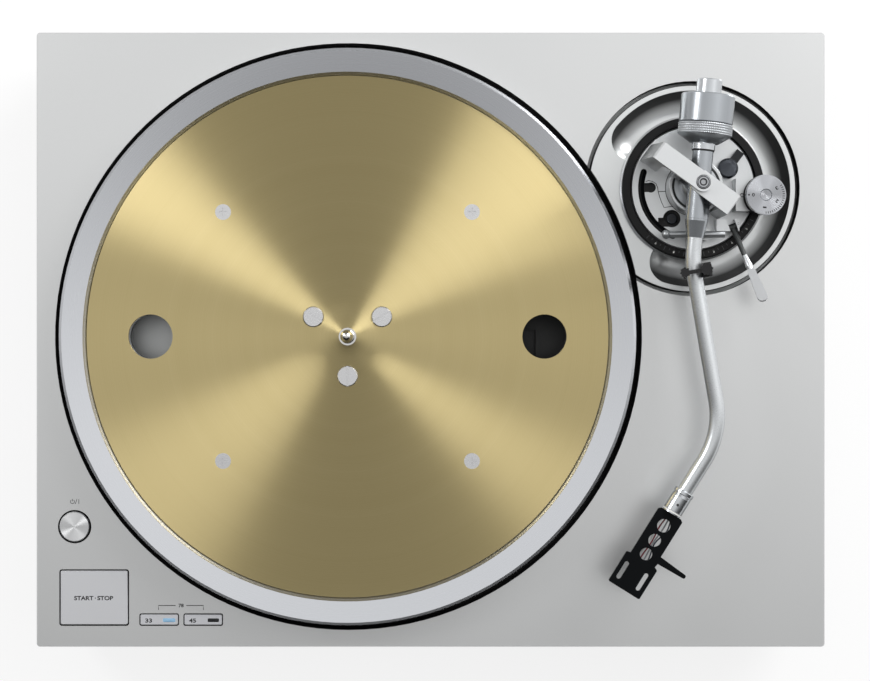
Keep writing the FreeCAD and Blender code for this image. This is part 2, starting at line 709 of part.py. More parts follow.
def motor():
    web_low = "brass_top - brass_thick - disc_thick"
    shaft = turned("shaft_turned", [
        (0, "shaft_low"), ("shaft_radius - 1", "shaft_low"), ("shaft_radius", "shaft_low + 1"),
        ("shaft_radius", "brass_top"), ("spindle_radius + 0.4", "brass_top"),
        ("spindle_radius", "brass_top + 0.8"), ("spindle_radius", "spindle_tip - 4"),
        ("spindle_radius - 0.5", "spindle_tip - 2.1"), ("spindle_radius - 1.5", "spindle_tip - 0.7"),
        ("spindle_radius - 2.6", "spindle_tip - 0.1"), (0, "spindle_tip")], *well_at)
    finish("spindle_shaft", shaft)

    rotor = turned("rotor_turned", [
        ("shaft_radius + 0.02", "platter_bottom"), ("rotor_radius - 1", "platter_bottom"),
        ("rotor_radius - 1", "platter_bottom + yoke_thick"), ("hub_radius", "platter_bottom + yoke_thick"),
        ("hub_radius", web_low + " - yoke_thick"), ("rotor_radius", web_low + " - yoke_thick"),
        ("rotor_radius", web_low), ("shaft_radius + 0.02", web_low)], *well_at)
    bolt_holes = [cylinder(f"rotor_bolt_{number}", "rotor_screw_hole", web_low + " - 3",
                           web_low + " + 1", x, y)
                  for number, (x, y) in enumerate(ringed("rotor_screw_offset", 3, 30))]
    finish("rotor_yoke", cut("rotor", rotor, *bolt_holes))

    lower = turned("magnet_lower", [
        ("magnet_inner", "platter_bottom + yoke_thick"), ("magnet_outer", "platter_bottom + yoke_thick"),
        ("magnet_outer", "platter_bottom + yoke_thick + low_magnet_thick"),
        ("magnet_inner", "platter_bottom + yoke_thick + low_magnet_thick")], *well_at)
    high_magnet_top = web_low + " - yoke_thick"
    high_magnet_low = high_magnet_top + " - high_magnet_thick"
    upper = turned("magnet_upper", [
        ("magnet_inner", high_magnet_low), ("magnet_outer", high_magnet_low),
        ("magnet_outer", high_magnet_top), ("magnet_inner", high_magnet_top)], *well_at)
    finish("rotor_magnets", together("magnets", lower, upper))

    bush = "shaft_radius + bearing_clearance + bearing_wall"
    bore = "shaft_radius + bearing_clearance"
    board_low = "well_floor + stator_lift"
    housing = turned("housing_turned", [
        (bush, "shaft_low - 0.2"), ("bearing_tube", "shaft_low - 0.2"),
        ("bearing_tube", "well_floor - deck_thick"), ("rotor_radius + 6", "well_floor - deck_thick"),
        ("rotor_radius + 6", "well_floor"), ("housing_radius", "well_floor"),
        ("housing_radius", "well_floor + 2.4"), ("stator_radius", "well_floor + 2.4"),
        ("stator_radius", board_low), ("rotor_radius + 2", board_low),
        ("rotor_radius + 2", "well_floor"), (bush, "well_floor")], *well_at)
    finish("motor_housing", housing)
    bushes = [turned(f"bush_{number}", [(bore, low), (bush, low), (bush, f"{low} + bush_long"),
                                        (bore, f"{low} + bush_long")], *well_at)
              for number, low in enumerate(("shaft_low + 1", "well_floor - bush_long"))]
    finish("bearing_bushes", together("bush_pair", *bushes))
    finish("thrust_cap", turned("thrust_turned", [
        (0, "shaft_low - 5"), ("bearing_tube", "shaft_low - 5"), ("bearing_tube", "shaft_low - 0.2"),
        (0, "shaft_low - 0.2")], *well_at))
    board_face = board_low + " + circuit_thick"
    finish("stator_board", turned("stator_turned", [
        ("hub_radius + 1.5", board_low), ("stator_radius", board_low),
        ("stator_radius", board_face), ("hub_radius + 1.5", board_face)], *well_at))
    coils = []
    for number, (x, y) in enumerate(ringed("coil_ring", dimensions["coil_count"], 10)):
        coils.append(turned(f"coil_{number}", [
            (4, board_face), ("coil_radius", board_face),
            ("coil_radius", board_low + " + 3"), (4, board_low + " + 3")], x, y))
    finish("stator_coils", together("coil_set", *coils))
    cover = block("cover_block", "spindle_x + lift_hole_offset - 18", "spindle_x + lift_hole_offset + 18",
                  "spindle_y - 22", "spindle_y + 22", "well_floor", "well_floor + 9")
    ledge = block("cover_ledge", "spindle_x + lift_hole_offset - 19", "spindle_x + lift_hole_offset - 4",
                  "spindle_y - 23", "spindle_y + 4", "well_floor + 6", "well_floor + 10")
    finish("well_cover", cut("cover", cover, ledge))


# Arm board: a disc in the panel with a deep cove round the arm's column

def sector(name, radius, start, end, low, high):
    thing = cylinder(name, radius, low, high, *pivot_at)
    bind(thing, Angle=f"({end}) - ({start})")
    return put(thing, *pivot_at, low, start)


def from_pivot(distance, azimuth):
    return (f"pivot_x + ({distance}) * cos(({azimuth}) * 1deg)",
            f"pivot_y + ({distance}) * sin(({azimuth}) * 1deg)")


def arm_board():
    low = "plinth_top - board_thick"
    disc = turned("board_turned", [
        ("sleeve_radius", low), ("board_radius", low), ("board_radius", "plinth_top - 0.5"),
        ("board_radius - 0.5", "plinth_top"), ("sleeve_radius", "plinth_top")], *pivot_at)
    cove = "(trough_half ^ 2 + trough_depth ^ 2) / (2 * trough_depth)"
    lift = f"{cove} - trough_depth"
    channel = doc.addObject("Part::Torus", "board_channel")
    bind(channel, Radius1="trough_middle", Radius2=cove, Angle3="trough_end - trough_start")
    put(channel, *pivot_at, f"plinth_top + {lift}", "trough_start")
    ends = [sphere(f"board_{name}", cove, *from_pivot("trough_middle", azimuth),
                   f"plinth_top + {lift}")
            for name, azimuth in (("start", "trough_start"), ("end", "trough_end"))]
    well = cylinder("board_well", "well_radius", low + " - 1", "plinth_top + 1", *well_at)
    finish("arm_board", cut("board", disc, channel, *ends, well))


def arm_column():
    chassis_deck = "well_floor - deck_thick"
    finish("height_sleeve", turned("sleeve_turned", [
        ("column_radius + 0.05", "well_floor - 14"), ("sleeve_radius", "well_floor - 14"),
        ("sleeve_radius", chassis_deck + " - 3"), ("sleeve_radius + 8", chassis_deck + " - 3"),
        ("sleeve_radius + 8", chassis_deck), ("sleeve_radius", chassis_deck),
        ("sleeve_radius", "plinth_top"), ("column_radius + 0.05", "plinth_top")], *pivot_at))

    plate_high, plate_low = "plinth_top + plate_top", "plinth_top + plate_top - plate_thick"
    disc = turned("plate_turned", [
        ("column_radius - 5", "well_floor - 12"), ("column_radius", "well_floor - 12"),
        ("column_radius", plate_low), ("plate_radius", plate_low), ("plate_radius", plate_high + " - 0.8"),
        ("plate_radius - 0.8", plate_high), (4, plate_high), (4, plate_low),
        ("column_radius - 5", plate_low)], *pivot_at)
    half = "arc_slot_wide / 2"
    outer = sector("slot_outer", f"arc_slot_middle + {half}", "arc_slot_start", "arc_slot_end",
                   plate_low + " - 1", plate_high + " + 1")
    inner = cylinder("slot_inner", f"arc_slot_middle - {half}", plate_low + " - 2", plate_high + " + 2",
                     *pivot_at)
    slot = cut("slot_band", outer, inner)
    ends = [cylinder(f"slot_end_{number}", half, plate_low + " - 1", plate_high + " + 1",
                     *from_pivot("arc_slot_middle", azimuth))
            for number, azimuth in enumerate(("arc_slot_start", "arc_slot_end"))]
    pocket = cylinder("plate_pocket", 2.9, plate_high + " - 2", plate_high + " + 1",
                      "pivot_x - 24.2", "pivot_y + 0.3")
    link = block("plate_link", "pivot_x - 29", "pivot_x - 24.2", "pivot_y - 2.3", "pivot_y + 2.9",
                 plate_high + " - 2", plate_high + " + 1")
    recess = cylinder("plate_recess", 5, plate_high + " - 2", plate_high + " + 1",
                      "pivot_x - 12.2", "pivot_y - 17.5")
    recess_link = block("plate_recess_link", "pivot_x - 20", "pivot_x - 14", "pivot_y - 22.2",
                        "pivot_y - 17", plate_high + " - 2", plate_high + " + 1")
    finish("arm_base_plate", cut("base_plate", disc, slot, *ends, pocket, link, recess, recess_link))

    flange = "plinth_top + 0.3"
    finish("height_ring", turned("ring_turned", [
        ("sleeve_radius + 0.7", flange), ("scale_outer + 1.2", flange),
        ("scale_outer + 1.2", "plinth_top + 2.4"), ("scale_outer", "plinth_top + 3.4"),
        ("scale_outer", "plinth_top + scale_top - 0.4"),
        ("scale_outer - 0.4", "plinth_top + scale_top"), ("scale_inner", "plinth_top + scale_top"),
        ("scale_inner", flange + " + 1.4"), ("sleeve_radius + 0.7", flange + " + 1.4")], *pivot_at))

    finish("bearing_tower", turned("tower_turned", [
        (3.05, plate_high), (13.4, plate_high), (13.4, "plinth_top + 18.8"),
        (12.4, "plinth_top + 20"), (10.4, "plinth_top + 20"), (10.4, "plinth_top + 18.2"),
        (8, "plinth_top + 18.2"), (8, "plinth_top + 24"), (7, "plinth_top + 25.5"),
        (3.05, "plinth_top + 25.5")], *pivot_at))


# Bridge over the arm's pivot: its own X axis runs along the bridge, towards the rear left post.

def side_plate(name, outline, wide):
    body = doc.addObject("PartDesign::Body", name)
    sketch = sketch_on(body, "XZ_Plane", name + "_outline")
    polygon(sketch, outline)
    pad = body.newObject("PartDesign::Pad", name + "_pad")
    pad.Profile = (sketch, [""])
    pad.Midplane = True
    bind(pad, Length=wide)
    return body


def arch():
    foot, top = "plinth_top + plate_top", "plinth_top + arch_top"
    beam_low, screw_low = top + " - beam_thick", top + " - 0.9"
    long_arm = side_plate("arch_long", [
        (0, beam_low), ("long_post_near - 2.8", beam_low), ("long_post_near", beam_low + " - 5"),
        ("long_post_near", foot), ("long_post_far", foot), ("long_post_far", foot + " + 5"),
        ("arch_reach", top + " - 1"), ("arch_reach - 1", top), (0, top)], "arch_wide")
    short_arm = side_plate("arch_short", [
        (3, beam_low), (3, beam_low + " - 2.5"), ("-short_post_near", beam_low + " - 2.5"),
        ("-short_post_near", foot), ("-short_post_far", foot), ("-short_post_far", beam_low + " - 0.6"),
        ("-short_post_far + 0.6", beam_low)], "short_post_wide")
    toe = block("arch_toe", 23, 34, -9.4, 4.4, foot, foot + " + 4")
    nose = cylinder("arch_nose", "arch_wide / 2", beam_low, top)
    bore = cylinder("arch_bore", 2.55, top + " - 10", top + " + 1")
    seat = cylinder("arch_seat", "pivot_screw_radius + 0.15", screw_low, top + " + 1")
    bridge = cut("arch_whole", fuse("arch_solid", long_arm, short_arm, toe, nose), bore, seat)
    finish("arch_bridge", put(bridge, *pivot_at, 0, "arch_turn"))

    head = turned("pivot_head", [
        (0, screw_low), ("pivot_screw_radius", screw_low), ("pivot_screw_radius", top + " - 0.1"),
        ("pivot_screw_radius - 0.45", top + " + 0.3"), (0, top + " + 0.3")], *pivot_at)
    hexagon = [(f"{1.6 * math.cos(math.radians(60 * k)):.6f}",
                f"{1.6 * math.sin(math.radians(60 * k)):.6f}") for k in range(6)]
    key = plate("pivot_key", hexagon, top + " - 0.5", top + " + 1", *pivot_at)
    finish("pivot_screw", cut("pivot_cap", head, key))


def gimbal():
    middle = "plinth_top + arm_axis"
    frame = block("gimbal_block", "-gimbal_half_long", "gimbal_half_long", -4.5, 4.5,
                  middle + " - gimbal_half_high", middle + " + gimbal_half_high")
    window = block("gimbal_window", "-window_half_long", "window_half_long", -6, 6,
                   middle + " - window_half_high", middle + " + window_half_high")
    cross = cylinder("gimbal_cross", 1.55, 0, 40)
    cross.Placement.Rotation = FreeCAD.Rotation(Vector(0, 1, 0), 90)
    put(cross, -20, 0, middle)
    low_pin = cylinder("gimbal_low_pin", 3, "plinth_top + 9", middle + " - 8")
    high_pin = cylinder("gimbal_high_pin", 2.5, middle + " + 8", "plinth_top + arch_top - 1.2")
    whole = fuse("gimbal_whole", cut("gimbal_frame", frame, window, cross), low_pin, high_pin)
    finish("gimbal_ring", put(whole, *pivot_at, 0, "arch_turn"))


# Small levers, dials and housings on the arm base

def base_controls():
    foot = "plinth_top + plate_top"
    over_ring = "plinth_top + scale_top + 0.7"
    dial_at = ("pivot_x + dial_right", "pivot_y - dial_front")
    left, front, back = "pivot_x + skate_left", "pivot_y - skate_front", "pivot_y + skate_back"
    dial_low, dial_top = "plinth_top + skate_dial_low", "plinth_top + skate_dial_top"
    body = block("skate_block", left, "pivot_x + dial_right", front, back, over_ring,
                 "plinth_top + skate_top")
    foot_part = block("skate_foot", left, "pivot_x + 31", front, back, foot, over_ring)
    drum = cylinder("skate_drum", "skate_dial_radius - 1.2", over_ring, dial_low + " - 0.3", *dial_at)
    bore = cylinder("skate_bore", 2.05, "plinth_top + 14", dial_top, *dial_at)
    finish("antiskate_housing", cut("skate", fuse("skate_solid", body, foot_part, drum), bore))
    finish("antiskate_dial", turned("dial_turned", [
        (0, "plinth_top + 15"), (2, "plinth_top + 15"), (2, dial_low),
        ("skate_dial_radius - 0.6", dial_low), ("skate_dial_radius", dial_low + " + 0.7"),
        ("skate_dial_radius", dial_top + " - 0.6"), ("skate_dial_radius - 0.5", dial_top),
        (3.4, dial_top), (3, dial_top + " - 0.5"), (0, dial_top + " - 0.8")], *dial_at))

    lock_high = "plinth_top + lock_top"
    knob = turned("lock_knob", [
        (0, foot + " + 0.3"), ("lock_radius - 0.5", foot + " + 0.3"), ("lock_radius", foot + " + 1"),
        ("lock_radius", lock_high + " - 1.4"), ("lock_radius - 1.2", lock_high), (0, lock_high)])
    handle = block("lock_handle", 3, "lock_reach", -2.4, 2.4, "plinth_top + scale_top + 0.5",
                   foot + " + 5.8")
    finish("lock_lever", put(fuse("lock", knob, handle), "pivot_x + lock_right",
                             "pivot_y + lock_back", 0, "lock_turn"))

    cue_high = "plinth_top + cue_top"
    cue_block = block("cue_block", "pivot_x + 12", "pivot_x + 25", "pivot_y - 25.2", "pivot_y - 18.4",
                      foot, cue_high)
    post = cylinder("cue_post", 3.2, foot, cue_high + " + 1", *lift_at)
    post_bore = cylinder("cue_post_bore", 1.55, foot + " + 1", cue_high + " + 2", *lift_at)
    slot = block("cue_slot", 0, 30, 0, "cue_slot_wide", 0, 20)
    put(slot, "cue_x - 5 * cos(cue_turn * 1deg) + cue_slot_wide / 2 * sin(cue_turn * 1deg)",
        "cue_y - 5 * sin(cue_turn * 1deg) - cue_slot_wide / 2 * cos(cue_turn * 1deg)",
        "plinth_top + 9", "cue_turn")
    pin_bore = cylinder("cue_pin_bore", 1.05, -4.2, 4.2)
    pin_bore.Placement.Rotation = across_cue()
    put(pin_bore, "cue_x + 4.2 * sin(cue_turn * 1deg)", "cue_y - 4.2 * cos(cue_turn * 1deg)",
        "plinth_top + cue_z")
    finish("cue_housing", cut("cue", fuse("cue_solid", cue_block, post), post_bore, slot, pin_bore))

    hub = cylinder("cue_hub", 2, "-cue_hub_half", "cue_hub_half")
    hub.Placement.Rotation = across_cue()
    put(hub, "cue_x + cue_hub_half * sin(cue_turn * 1deg)",
        "cue_y - cue_hub_half * cos(cue_turn * 1deg)", "plinth_top + cue_z")
    pin = cylinder("cue_pin", 1, "-cue_pin_half", "cue_pin_half")
    pin.Placement.Rotation = across_cue()
    put(pin, "cue_x + cue_pin_half * sin(cue_turn * 1deg)",
        "cue_y - cue_pin_half * cos(cue_turn * 1deg)", "plinth_top + cue_z")
    rise = FreeCAD.Rotation(up, worth("cue_turn")) * FreeCAD.Rotation(
        Vector(0, 1, 0), 90 - worth("cue_rise"))
    cone_start, paddle_start, paddle_long, paddle_wide, paddle_thick = 18.6, 26.4, 22.6, 5.8, 1.9
    stem = turned("cue_stem", [(0, 0), (1.7, 0), (1.4, cone_start), (2.1, paddle_start),
                               (1.6, paddle_start + 2), (0, paddle_start + 2)])
    stem.Placement.Rotation = rise
    put(stem, "cue_x", "cue_y", "plinth_top + cue_z")
    paddle = plate("cue_paddle", [
        (0, -1.3), (4, -2.3), (paddle_long - 2.6, -paddle_wide / 2), (paddle_long - 0.9, -2.3),
        (paddle_long, -1), (paddle_long, 1), (paddle_long - 0.9, 2.3),
        (paddle_long - 2.6, paddle_wide / 2), (4, 2.3), (0, 1.3)],
        f"-{paddle_thick} / 2", f"{paddle_thick} / 2")
    paddle.Placement.Rotation = FreeCAD.Rotation(up, worth("cue_turn")) * FreeCAD.Rotation(
        Vector(0, 1, 0), -worth("cue_rise"))
    start = rise.multVec(Vector(0, 0, paddle_start))
    thick = rise.multVec(Vector(paddle_thick / 2, 0, 0))
    put(paddle, f"cue_x + ({start.x + thick.x:.6f})", f"cue_y + ({start.y + thick.y:.6f})",
        f"plinth_top + cue_z + ({start.z + thick.z:.6f})")
    finish("cue_lever", fuse("cue_arm", hub, pin, stem, paddle))

    rod_radius, ball_radius, rod_z = 1.9, 2.6, "plinth_top + lift_rod_z"
    rod_left, rod_y = "pivot_x - 17.3", lift_at[1]
    bar = cylinder("lift_rod", rod_radius, 0, 33)
    bar.Placement.Rotation = FreeCAD.Rotation(Vector(0, 1, 0), 90)
    put(bar, rod_left, rod_y, rod_z)
    ball = sphere("lift_ball", ball_radius, rod_left, rod_y, rod_z)
    piston = cylinder("lift_piston", 1.5, "plinth_top + 8", rod_z, *lift_at)
    finish("lift_bar", fuse("lift", bar, ball, piston))


def across_cue():
    return FreeCAD.Rotation(up, worth("cue_turn") + 90) * FreeCAD.Rotation(Vector(0, 1, 0), 90)


lift_at = ("pivot_x + lift_right", "pivot_y - lift_front")


# Arm rest: a bracket under the tube, a post beside it and a clamp hinged at the post's top.
# It is drawn with its X axis across the tube and its Y axis back along the tube.

def arm_rest():
    foot, over_ring = "plinth_top + plate_top", "plinth_top + scale_top + 0.7"
    hinge_z, saddle_z = "plinth_top + rest_hinge", "plinth_top + saddle_top"
    toe = block("rest_toe", -4.6, 0.2, 16, 21, foot, over_ring)
    bracket = block("rest_bracket", -4.6, 1.9, -4, 4, over_ring, over_ring + " + 2.4")
    link = block("rest_link", -4.6, 0.2, 3, 21, over_ring, over_ring + " + 2.4")
    post = block("rest_post", -1.9, 1.9, -4, 4, over_ring, hinge_z)
    crown = cylinder("rest_crown", 1.9, 0, 8)
    crown.Placement.Rotation = FreeCAD.Rotation(Vector(1, 0, 0), -90)
    put(crown, 0, -4, hinge_z)
    saddle = block("rest_saddle", -12.5, -1, -3, 3, saddle_z + " - 4", saddle_z)
    gap = block("rest_gap", -3, 3, -1.8, 1.8, hinge_z + " - 2.4", hinge_z + " + 4")
    pin = cylinder("rest_pin", 1, 0, 7)
    pin.Placement.Rotation = FreeCAD.Rotation(Vector(1, 0, 0), -90)
    put(pin, 0, -3.5, hinge_z)
    whole = fuse("rest_whole", cut("rest_open", fuse("rest_solid", toe, bracket, link, post, crown, saddle),
                                   gap), pin)
    finish("arm_rest", put(whole, *rest_at, 0, "rest_turn"))

    bar_low = "plinth_top + clamp_low"
    barrel = cylinder("clamp_barrel", 1.9, 0, 3)
    barrel.Placement.Rotation = FreeCAD.Rotation(Vector(1, 0, 0), -90)
    put(barrel, 0, -1.5, hinge_z)
    neck = block("clamp_neck", -1.5, 1.5, -1.5, 1.5, hinge_z, bar_low + " + 1")
    bore = cylinder("clamp_bore", 1.05, 0, 7)
    bore.Placement.Rotation = FreeCAD.Rotation(Vector(1, 0, 0), -90)
    put(bore, 0, -3.5, hinge_z)
    bar = block("clamp_bar", "-clamp_end", 1.5, -1.1, 1.1, bar_low, bar_low + " + 2.4")
    lobes = [lobe("clamp_left", "-clamp_end", 0.3, 3.0, 8, bar_low),
             lobe("clamp_right", -1.4, 0.3, 3.7, 9, bar_low)]
    clamp = cut("clamp_whole", fuse("clamp_solid", barrel, neck, bar, *lobes), bore)
    finish("arm_clamp", put(clamp, *rest_at, 0, "rest_turn"))


rest_at = ("pivot_x + rest_right", "pivot_y - rest_front")


# A knurled lobe: a star of blunt teeth.
def lobe(name, x, y, radius, teeth, low):
    outline = []
    for number in range(2 * teeth):
        reach = radius if number % 2 == 0 else radius - 0.7
        turn = math.pi * number / teeth
        outline.append((f"{reach * math.cos(turn):.6f}", f"{reach * math.sin(turn):.6f}"))
    return plate(name, outline, low, low + " + 3.2", x, y)


# Pieces turned on the arm's own axes: their heights are distances along the axis.

def laid(piece, azimuth, x, y, z):
    piece.Placement.Rotation = FreeCAD.Rotation(up, worth(azimuth)) * FreeCAD.Rotation(
        Vector(0, 1, 0), 90)
    return put(piece, x, y, z)


arm_azimuth = "270 - arm_turn"
axis_z = "plinth_top + arm_axis"


def on_arm(name, outline):
    return laid(turned(name, outline), arm_azimuth, *pivot_at, axis_z)


def arm():
    sleeve = on_arm("hub_turned", [
        (2.5, "-hub_rear"), (5.85, "-hub_rear"), (5.85, -2), ("neck_radius", -1),
        ("neck_radius", "hub_front"), ("tube_radius + 0.02", "hub_front"),
        ("tube_radius + 0.02", 8), (2.5, 8)])
    trunnions = []
    for number, (start, end) in enumerate(((5, 13.3), (-13.3, -5))):
        pin = cylinder(f"trunnion_{number}", 1.5, 0, end - start)
        trunnions.append(laid(pin, "arch_turn", *from_pivot(start, "arch_turn"), axis_z))
    finish("arm_sleeve", fuse("hub", sleeve, *trunnions))
    finish("tube_collar", on_arm("collar_turned", [
        ("tube_radius + 0.02", "hub_front + 0.1"), ("neck_radius", "hub_front + 0.1"),
        ("neck_radius", "hub_front + 1.1"), ("tube_radius + 0.5", 30), ("tube_radius + 0.02", 30)]))
    finish("rear_shaft", on_arm("rear_turned", [
        (2.5, "-tail_end"), ("tail_radius - 0.55", "-tail_end"), ("tail_radius", "-tail_end + 0.6"),
        ("tail_radius", -23.4), ("neck_radius", -22.6), ("neck_radius", "-hub_rear - 0.8"),
        (5.2, "-hub_rear - 0.8"), (5.2, "-hub_rear"), (2.5, "-hub_rear")]))
    finish("weight_insert", on_arm("insert_turned", [
        ("tail_radius + 0.05", "-weight_rear + 0.2"), (8.5, "-weight_rear + 0.2"),
        (8.5, "-dial_cone"), ("tail_radius + 0.05", "-dial_cone")]))
    finish("counterweight", on_arm("weight_turned", [
        (8.55, "-weight_rear"), ("weight_radius - 0.8", "-weight_rear"),
        ("weight_radius", "-weight_rear + 0.8"), ("weight_radius", "-weight_front - 0.4"),
        ("weight_radius - 0.4", "-weight_front"), (10.2, "-weight_front"),
        (10.2, "-dial_cone - 0.2"), (8.55, "-dial_cone - 0.2")]))
    finish("force_dial", on_arm("dial_ring_turned", [
        (10.55, "-dial_rear"), ("dial_radius - 0.3", "-dial_rear"), ("dial_radius", "-dial_rear + 0.3"),
        ("dial_radius", "-dial_cone - 0.6"), ("dial_radius - 0.6", "-dial_cone"), (8.1, "-dial_nose"),
        ("tail_radius + 0.35", "-dial_nose"), ("tail_radius + 0.35", "-dial_cone + 0.2"),
        (10.55, "-dial_cone + 0.2")]))


# Arm tube: straight runs joined by tangent arcs, swept with its bore

def arm_tube():
    def heading(azimuth):
        turn = math.radians(worth(azimuth))
        return Vector(math.cos(turn), math.sin(turn), 0)

    rear, middle, front = (heading(arm_azimuth), heading("270 + middle_turn"),
                           heading("270 - head_turn"))
    pivot = Vector(worth("pivot_x"), worth("pivot_y"), worth(axis_z))
    bend_a = pivot + worth("rear_leg") * rear
    bend_b = bend_a + worth("middle_leg") * middle
    start, end = pivot + 8.5 * rear, bend_b + worth("tube_end") * front
    runs, last = [], start
    for corner, before, after, radius in ((bend_a, rear, middle, worth("bend_rear")),
                                          (bend_b, middle, front, worth("bend_front"))):
        turn = before.getAngle(after)
        reach = radius * math.tan(turn / 2)
        first, second = corner - reach * before, corner + reach * after
        side = (after - before).normalize()
        crown = corner + (radius / math.cos(turn / 2) - radius) * side
        runs += [Part.LineSegment(last, first).toShape(), Part.Arc(first, crown, second).toShape()]
        last = second
        print(f"arm tube bend radius {radius:.1f} mm, turn {math.degrees(turn):.1f} degrees")
    runs.append(Part.LineSegment(last, end).toShape())
    path = Part.Wire(runs)

    def swept(radius):
        ring = Part.Wire([Part.Circle(start, rear, radius).toShape()])
        return path.makePipeShell([ring], True, False)

    outer, inner = worth("tube_radius"), worth("tube_radius - tube_wall")
    tube = swept(outer).cut(swept(inner))
    ideal = math.pi * (outer ** 2 - inner ** 2) * path.Length
    print(f"arm tube volume {tube.Volume:.0f} mm3, section times length {ideal:.0f} mm3")
    piece = doc.addObject("Part::Feature", "tube_swept")
    piece.Shape = tube
    finish("arm_tube", piece)


# Headshell and its collar, on the tube's last straight run

def on_head(distance):
    bend_a_x = "pivot_x - rear_leg * sin(arm_turn * 1deg)"
    bend_a_y = "pivot_y - rear_leg * cos(arm_turn * 1deg)"
    bend_b_x = bend_a_x + " + middle_leg * sin(middle_turn * 1deg)"
    bend_b_y = bend_a_y + " - middle_leg * cos(middle_turn * 1deg)"
    return (f"{bend_b_x} - ({distance}) * sin(head_turn * 1deg)",
            f"{bend_b_y} - ({distance}) * cos(head_turn * 1deg)")


def head():
    azimuth = "270 - head_turn"
    finish("lock_collar", laid(turned("collar_ring_turned", [
        ("tube_radius + 0.05", 0), (5.4, 0), (5.9, 0.4), (5.9, 2.2), (5.5, 2.6), (5.7, 4.2),
        (5.7, "collar_long - 0.4"), (5.3, "collar_long"), ("tube_radius + 0.05", "collar_long")]),
        azimuth, *on_head("collar_rear"), axis_z))
    finish("headshell_plug", laid(turned("plug_turned", [
        (0, 2), (2.2, 2), (2.2, 0), (3.5, 0), (3.54, 1), (3.54, 9.2), (5.2, 9.2), (5.5, 9.6),
        (5.5, "plug_long - 0.1"), (5.4, "plug_long"), (0, "plug_long")]),
        azimuth, *on_head("shell_rear - plug_long"), axis_z))

    top, low = axis_z + " + 2.6", axis_z + " + 2.6 - shell_thick"
    narrow, wide, front = "shell_narrow / 2", "shell_wide / 2", "shell_long - shell_front"
    lift, lift_end = "finger_lift_rear", "finger_lift_rear + finger_lift_wide"
    outline = [
        (0, f"-{narrow} + 1.5"), (1.2, f"-{narrow}"), (front + " - 0.4", f"-{narrow}"),
        (front, f"-{wide} + 0.6"), (front + " + 0.5", f"-{wide}"), ("shell_long - 0.6", f"-{wide}"),
        ("shell_long", f"-{wide} + 0.6"), ("shell_long", f"{wide} - 0.6"), ("shell_long - 0.6", wide),
        (front + " + 0.9", wide), (front + " + 0.3", f"{wide} - 0.5"), (front + " - 0.4", f"{narrow} + 0.2"),
        (lift_end, f"{narrow} + 0.6"), (lift_end + " - 0.6", f"{narrow} + finger_lift_long - 0.6"),
        (lift_end + " - 1.2", f"{narrow} + finger_lift_long"),
        (lift + " + 1.9", f"{narrow} + finger_lift_long"),
        (lift + " + 1.3", f"{narrow} + finger_lift_long - 0.6"), (lift, narrow), (1.2, narrow),
        (0, f"{narrow} - 1.5")]
    sheet_metal = plate("shell_sheet", outline, low, top)
    holes = [cylinder(f"shell_hole_{number}", radius, low + " - 1", top + " + 1", along, 0)
             for number, (along, radius) in enumerate(((8, 3.8), (17.6, 3.6), (26.6, 3.5)))]
    slots = []
    for side in "-+":
        middle = f"{side}1 * cartridge_pitch / 2"
        back, fore = ("shell_long - cartridge_slot_back - cartridge_slot / 2 + cartridge_slot_wide / 2",
                      "shell_long - cartridge_slot_back + cartridge_slot / 2 - cartridge_slot_wide / 2")
        half = "cartridge_slot_wide / 2"
        slots.append(block(f"slot_{side}_run", back, fore, f"{middle} - {half}", f"{middle} + {half}",
                           low + " - 1", top + " + 1"))
        slots += [cylinder(f"slot_{side}_{end}", half, low + " - 1", top + " + 1", along, middle)
                  for end, along in (("back", back), ("fore", fore))]
    boss = block("shell_boss", 0, 3.6, -4.4, 4.4, axis_z + " - 4.4", low + " + 0.4")
    shell = fuse("shell_whole", cut("shell_cut", sheet_metal, *holes, *slots), boss)
    finish("headshell", put(shell, *on_head("shell_rear"), 0, azimuth))


def lead_wires():
    azimuth = math.radians(worth("270 - head_turn"))
    along, across = Vector(math.cos(azimuth), math.sin(azimuth), 0), Vector(
        -math.sin(azimuth), math.cos(azimuth), 0)
    x, y = (worth(formula) for formula in on_head("shell_rear"))
    origin = Vector(x, y, worth(axis_z))
    wires = []
    for number, spread in enumerate((-2.4, -0.8, 0.8, 2.4)):
        stations = [(3.9, spread, -1.2 - 0.5 * (number % 2)), (10.2, 1.5 * spread, -2.4),
                    (19.2, 0.6 * spread, -1.8), (28.2, 1.3 * spread, -1.6), (34.7, 1.1 * spread, -1.4)]
        points = [origin + u * along + v * across + Vector(0, 0, w) for u, v, w in stations]
        curve = Part.BSplineCurve()
        curve.interpolate(points)
        ring = Part.Wire([Part.Circle(points[0], curve.tangent(0)[0], 0.55).toShape()])
        wires.append(Part.Wire([curve.toShape()]).makePipeShell([ring], True, False))
    piece = doc.addObject("Part::Feature", "lead_set")
    piece.Shape = Part.Compound(wires)
    finish("lead_wires", piece)


builders = (top_panel, chassis, base_tray, rear_sockets, electronics, buttons, feet, platter, motor,
            arm_board, arm_column, arch, gimbal, base_controls, arm_rest, arm, arm_tube, head, lead_wires)
for make in builders:
    make()
doc.recompute()

failed = [thing.Name for thing in doc.Objects
          if any(word in thing.State for word in ("Invalid", "Error"))]
if failed:
    raise SystemExit("not built: " + ", ".join(failed))

os.makedirs("parts", exist_ok=True)
for label, thing in finished.items():
    shape = thing.Shape
    if shape.isNull() or not shape.isValid():
        raise SystemExit("bad shape: " + label)
    shape.exportStep(f"parts/{label}.step")
print(len(finished), "pieces written")
